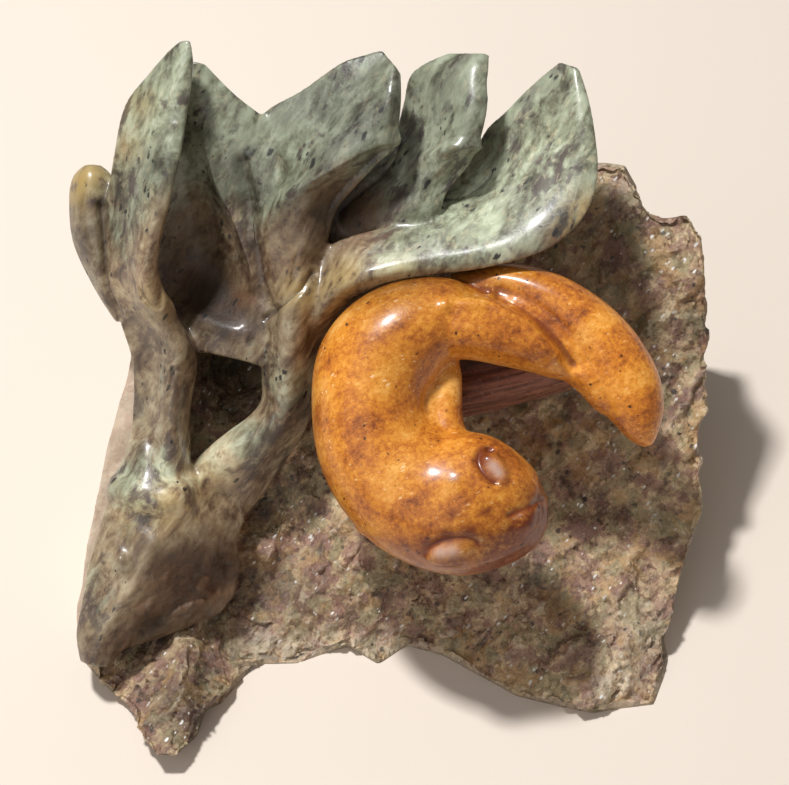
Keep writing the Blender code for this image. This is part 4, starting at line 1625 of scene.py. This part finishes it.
@dataclass
class Rock:
    """The rough wedge with the rib that carries the otter, sawn flat below and behind."""

    KINDS = ("Lump", "Ridge", "Grain", "Pit")

    wedge: Wedge = Wedge(
        (
            (-53, 50, 0), (-20, 57, 0), (20, 57, 0), (53, 58, 0), (58, 57, 0), (65, 46, 0),
            (70, 45, 0), (74, 46, 0), (78, 39, -1), (80, 22, -2), (79, 8, -3), (80, -1, -3),
            (77, -13, -2), (79, -28, -1), (74, -42, 1), (68, -62, 5), (69, -67, 8), (64, -77, 13),
            (49, -79, 14), (30, -75, 10), (12, -66, 5), (3, -64, 4), (-4, -68, 6), (-12, -64, 4),
            (-25, -68, 6), (-35, -68, 8), (-43, -77, 14), (-47, -79, 18), (-49, -85, 22), (-53, -88, 24),
            (-58, -88, 24), (-62, -84, 22), (-65, -78, 18), (-70, -74, 15), (-78, -67, 10), (-80, -57, 1),
            (-77, -36, -10), (-72, -12, -12), (-67, 5, -10), (-64, 28, -4),
        ),
        (
            (-56, -87, 19, 26), (-44, -73, 8, 5), (-51, -64, 7, 4), (-31, -30, 8, -5), (-37, -47, 8, -6),
            (47, -78, 27, 13), (25, 8, 34, -4), (-18, -50, 22, 3), (62, 34, 20, 3), (-38, 6, 10, -13),
        ),
    )
    rib: RoundForm = RoundForm((
        (0, -1, 3, 9, 15), (16, 1, 5, 7.5, 16), (30, 4, 5, 7, 16.5), (42, 7, 5, 6.5, 15.5),
        (50, 9, 4, 5, 13), (54, 10, 2, 3, 9),
    ))
    voxel: float = 0.62
    softening: int = 4
    most_triangles: int = MOST_TRIANGLES
    crisp_deg: float = 42.0
    darkest: float = -0.8
    patch_lowest: float = -12.0
    hollow: tuple[int, float] = (4, 0.35)
    valley: tuple[int, float] = (60, 1.8)
    lump_size: float = 13.0
    lump_depth: float = 1.8
    ridge_size: float = 6.0
    ridge_depth: float = 2.2
    grain_size: float = 3.4
    grain_depth: float = 0.22
    pit_size: float = 7.0
    pit_depth: float = 0.7
    grain_deg: float = 50.0
    grain_squeeze: float = 0.55
    grain_wander: float = 5.0
    wander_scale: float = 0.2
    pit_edge: tuple[float, float] = (0.45, 0.15)
    pit_chance: tuple[float, float] = (0.45, 0.3)
    saw_calm: float = 0.8
    saw_edge: float = 0.3
    worn_calm: float = 0.9
    worn_line: tuple[float, float] = (-61.0, 0.21)
    worn_blend: float = 1.5
    worn_bottom: tuple[float, float] = (-64.0, -58.0)
    worn_top: tuple[float, float] = (24.0, 18.0)
    worn_back: tuple[float, float] = (-34.0, -20.0)
    rib_foot: tuple[float, float] = (5.0, 8.0)
    rib_side: tuple[float, float] = (10.0, 8.0)
    slate: Stains = spots(
        (-29, -24, 7, 0.5), (-31, -34, 6, 0.4), (-36, -45, 6, 0.4), (-22, -28, 6, 0.4), (-4, -50, 5, 0.35),
        (36, -43, 7, 0.3), (76, 18, 5, 0.4), (58, 30, 6, 0.3),
    )
    pale: Stains = spots(
        (-33, -63, 4, 0.8), (-25, -65, 4, 1.0), (-17, -63, 4, 0.9), (-9, -65, 4, 0.9), (-1, -62, 4, 0.8),
        (56, -70, 8, 0.5), (62, -60, 7, 0.5), (-27, -46, 3.5, 0.5), (57, 50, 6, 0.5), (53, -72, 3.5, 1.0),
        (-40, -62, 4, 0.4),
    )
    # Lighter and darker patches of the rind; the dark spot at (-40, 6) is painted shade in the pocket
    # behind the web.
    light: Stains = spots(
        (66, 4, 12, -0.25), (73, 20, 10, -0.25), (60, -58, 12, -0.15), (44, -42, 10, -0.08),
        (-25, -62, 8, 0.05), (-24, -51, 9, -0.45), (-50, -76, 11, -0.65), (-44, -58, 9, -0.35),
        (-34, -50, 6, -0.25), (-28, -30, 8, 0.35), (-40, 6, 10, -0.7), (62, 44, 12, -0.25),
    )
    cuts: tuple[Cut, ...] = (
        Cut(((-14, -17), (-21, -33), (-29, -47), (-36, -62)), 4.2, -2.6, -30),
        Cut(((-24, -22), (-28, -32), (-32, -42)), 2.6, 1.9, -30),
        Cut(((-49, -57), (-52, -66), (-51, -76), (-54, -86)), 4.2, 1.7, -30),
        Cut(((-45, -58), (-45.5, -64), (-45, -69)), 3.0, -1.3, -30),
        Cut(((-59, -62), (-62, -74)), 3.0, -1.3, -30),
    )

    def planes(self) -> list[tuple[Row, Row]]:
        """The saw's two planes in the slope's frame, each as a point and the way out.

        Returns:
            The underside and the back.
        """
        angle = math.radians(SLOPE.angle_deg)
        down = np.array((0, -math.sin(angle), -math.cos(angle)))
        back = np.array((0, math.cos(angle), -math.sin(angle)))
        foot = np.array((0, -SLOPE.middle, 0))
        return [(tuple(foot), tuple(down)), (tuple(foot + back * SLOPE.depth), tuple(back))]

    def ports(self) -> dict[str, float]:
        """The relief's inputs by name: the size and the depth of each kind of it."""
        names = [f"{kind} {measure}" for kind in self.KINDS for measure in ("Size", "Depth")]
        return {name: getattr(self, name.lower().replace(" ", "_")) for name in names}

    def relief(self) -> bpy.types.NodeTree:
        """The tree that gives the rind its lumps, broken ridges, grain and pits.

        Returns:
            The Geometry Nodes tree.
        """
        tree = bpy.data.node_groups.new("Rind relief", "GeometryNodeTree")
        tree.interface.new_socket("Geometry", in_out="INPUT", socket_type="NodeSocketGeometry")
        for name in self.ports():
            tree.interface.new_socket(name, in_out="INPUT", socket_type="NodeSocketFloat")
        tree.interface.new_socket("Material", in_out="INPUT", socket_type="NodeSocketMaterial")
        tree.interface.new_socket("Geometry", in_out="OUTPUT", socket_type="NodeSocketGeometry")
        kit = Kit(tree)
        given = kit.node("NodeGroupInput").outputs
        start = kit.node("GeometryNodeInputPosition").outputs[0]
        laid = kit.turned(start, "Z", self.grain_deg)
        laid = kit.vector("MULTIPLY", laid, (self.grain_squeeze, 1.0, 1.0))
        laid = kit.stray(laid, self.wander_scale, self.grain_wander, start)

        def scale(name: str) -> Value:
            """One over the size, for a texture."""
            return kit.maths("DIVIDE", 1.0, Value(kit, given[f"{name} Size"]))

        def depth(name: str) -> Value:
            """The depth."""
            return Value(kit, given[f"{name} Depth"])

        lumps = kit.noise(start, scale("Lump"), 3.0, 0.5) - 0.5
        ridged = kit.node(
            "ShaderNodeTexNoise",
            {"noise_type": "RIDGED_MULTIFRACTAL", "normalize": True},
            {"Vector": laid, "Scale": scale("Ridge"), "Detail": 3.0, "Roughness": 0.5},
        )
        ridges = Value(kit, ridged.outputs[0]) - 0.5
        grain = kit.facets(laid, scale("Grain"))
        cells = kit.cells(laid, scale("Pit"), "SMOOTH_F1")
        chance = kit.node("FunctionNodeSeparateColor", None, {0: cells.outputs["Color"]})
        dip = kit.ease(Value(kit, cells.outputs["Distance"]), *self.pit_edge)
        pits = dip * kit.ease(Value(kit, chance.outputs[0]), *self.pit_chance)
        total = lumps * depth("Lump") * 2 + ridges * depth("Ridge") * 2 + grain * depth("Grain") * 2
        total = total - pits * depth("Pit")
        rough = kit.node("GeometryNodeInputNamedAttribute", {"data_type": "FLOAT"}, {"Name": "rough"})
        amount = total * Value(kit, rough.outputs[0])
        normal = kit.node("GeometryNodeInputNormal").outputs[0]
        offset = kit.vector("SCALE", normal, amount)
        moved = kit.node("GeometryNodeSetPosition", None, {"Geometry": given["Geometry"], "Offset": offset})
        whole = kit.node("GeometryNodeRealizeInstances", None, {0: moved.outputs[0]})
        dressed = kit.node(
            "GeometryNodeSetMaterial", None, {"Geometry": whole.outputs[0], "Material": given["Material"]}
        )
        kit.node("NodeGroupOutput", None, {0: dressed.outputs[0]})
        return tree

    def shape(self, material: bpy.types.Material) -> Block:
        """The rock, fused, sawn and broken.

        Args:
            material: the rind's finish, which the relief's tree sets.

        Returns:
            The finished block.
        """
        block = Block("rock_rind", (self.wedge, self.rib))
        block.fuse(self.voxel, self.softening)
        for plane in self.planes():
            block.saw(*plane)
        block.drop_crumbs()
        block.carve(self.cuts)
        places = block.places()
        calm = (1 - self.on_rib(places)) * (1 - self.worn_calm * self.worn_side(places))
        block.mark("rough", (1 - self.near_saw(places, self.saw_calm)) * calm)
        modifier = block.item.modifiers.new("Rind relief", "NODES")
        modifier.node_group = self.relief()
        self.set_ports(modifier, material)
        block.bake()
        block.thin(self.most_triangles)
        places = block.places()
        block.mark("sawn", self.near_saw(places, self.saw_edge))
        block.mark("rib", self.on_rib(places))
        block.mark("worn", self.worn_side(places))
        block.stain("slate", self.slate, lowest=self.patch_lowest)
        block.stain("pale", self.pale, lowest=self.patch_lowest)
        block.shade(self.light, self.darkest)
        block.mark_hollows("hollow", *self.hollow)
        block.mark_hollows("valley", *self.valley)
        return block

    def near_saw(self, places: np.ndarray, reach: float) -> np.ndarray:
        """1 on the sawn faces, and 0 further in than the reach.

        Args:
            places: across, up and proud, one row each.
            reach: how far in it fades out.

        Returns:
            The share at each place.
        """
        inward = np.full(len(places), np.inf)
        for point, normal in self.planes():
            inward = np.minimum(inward, -(places - np.array(point)) @ np.array(normal))
        return ramped(inward, reach, 0)

    def worn_side(self, places: np.ndarray) -> np.ndarray:
        """1 on the stone's left wall beside the kelp, which is rubbed smooth and pale.

        Args:
            places: across, up and proud, one row each.

        Returns:
            The share at each place.
        """
        across, up, proud = places.T
        limit = self.worn_line[0] + self.worn_line[1] * up
        beside = ramped(limit - across, 0, self.worn_blend)
        along = ramped(up, *self.worn_bottom) * ramped(up, *self.worn_top)
        return beside * along * ramped(proud, *self.worn_back)

    def set_ports(self, modifier: bpy.types.Modifier, material: bpy.types.Material) -> None:
        """Set the relief's inputs by their identifiers.

        Args:
            modifier: the relief's modifier.
            material: the finish that it sets.
        """
        values: dict[str, object] = {**self.ports(), "Material": material}
        for port in modifier.node_group.interface.items_tree:
            if port.in_out == "INPUT" and port.name in values:
                modifier[port.identifier] = values[port.name]

    def on_rib(self, places: np.ndarray) -> np.ndarray:
        """1 on the rib that carries the otter, and 0 off it."""
        gap = gap_to_line(places[:, :2], np.array(self.rib.stations, float)[:, :2])
        return ramped(gap, *self.rib_side) * ramped(places[:, 2], *self.rib_foot)


@dataclass
class Studio:
    """The pale floor, the soft lights and the camera."""

    floor_colour: Colour = (0.8, 0.71, 0.62)
    floor_size: float = 6.0
    floor_cells: int = 4
    floor_roughness: float = 0.9
    camera_elevation: float = 50.0
    camera_distance: float = 0.6
    photo_width: int = 789
    pixel: float = 0.25 * MM
    sensor: float = 36.0
    key_from: Row = (-0.287, 0.137, 0.948)
    key_distance: float = 1.1
    key_size: float = 0.11
    key_power: float = 12.5
    fill_from: Row = (-0.6, -0.7, 0.6)
    fill_distance: float = 1.3
    fill_size: float = 1.2
    fill_power: float = 3.3
    light_aim: Row = (0.0, 0.0, 0.05)
    sky: Colour = (1.0, 0.97, 0.93)
    sky_strength: float = 0.22

    def floor(self) -> None:
        """The floor that the stone stands on."""
        mesh = bmesh.new()
        cells = self.floor_cells
        bmesh.ops.create_grid(mesh, x_segments=cells, y_segments=cells, size=self.floor_size / 2)
        made = new_object(mesh, "floor")
        material = bpy.data.materials.new("floor_pale")
        material.use_nodes = True
        shader = material.node_tree.nodes["Principled BSDF"]
        shader.inputs["Base Color"].default_value = (*self.floor_colour, 1.0)
        shader.inputs["Roughness"].default_value = self.floor_roughness
        made.data.materials.append(material)

    def light(self, name: str, heading: Row, distance: float, size: float, power: float) -> None:
        """Hang a square soft light.

        Args:
            name: the light's name.
            heading: where it hangs, seen from the stone.
            distance: how far away, in metres.
            size: the length of its side, in metres.
            power: its power in watts.
        """
        data = bpy.data.lights.new(name, "AREA")
        data.size = size
        data.energy = power
        made = bpy.data.objects.new(name, data)
        direction = Vector(heading).normalized()
        made.location = direction * distance + Vector(self.light_aim)
        made.rotation_euler = direction.to_track_quat("Z", "Y").to_euler()
        bpy.context.scene.collection.objects.link(made)

    def camera(self) -> None:
        """Set the camera square to the rough slope, as the photograph was taken."""
        data = bpy.data.cameras.new("camera")
        data.sensor_width = self.sensor
        data.lens = self.sensor * self.camera_distance / (self.photo_width * self.pixel)
        made = bpy.data.objects.new("camera", data)
        rise = math.radians(self.camera_elevation)
        back = Vector((0, -math.cos(rise), math.sin(rise)))
        target = Vector(SLOPE.to_object(np.zeros((1, 3)))[0])
        made.location = target + back * self.camera_distance
        made.rotation_euler = back.to_track_quat("Z", "Y").to_euler()
        bpy.context.scene.collection.objects.link(made)
        bpy.context.scene.camera = made

    def sky_light(self) -> None:
        """Light from all round, even and dim."""
        world = bpy.data.worlds.new("studio")
        world.use_nodes = True
        back = world.node_tree.nodes["Background"]
        back.inputs["Color"].default_value = (*self.sky, 1.0)
        back.inputs["Strength"].default_value = self.sky_strength
        bpy.context.scene.world = world

    def build(self) -> None:
        """Set the whole studio up."""
        self.floor()
        self.light("key", self.key_from, self.key_distance, self.key_size, self.key_power)
        self.light("fill", self.fill_from, self.fill_distance, self.fill_size, self.fill_power)
        self.sky_light()
        self.camera()
        bpy.context.scene.view_settings.view_transform = "Standard"


def main() -> None:
    """Build every piece in order."""
    logging.basicConfig(level=logging.INFO, format="%(name)s: %(message)s")
    otter = Otter().shape()
    kelp = Kelp().shape()
    rind = RindFinish().material()
    rough = Rock()
    rock = rough.shape(rind)
    for block in (kelp, rock):
        block.seat(otter, SEAT_GAP)
    otter.release("otter", "otter_stone", OtterFinish().material())
    kelp.release("kelp_and_rock", "kelp_stone", KelpFinish().material())
    rock.release("kelp_and_rock", "kelp_stone", rind, rough.crisp_deg)
    Studio().build()


if __name__ == "__main__":
    main()
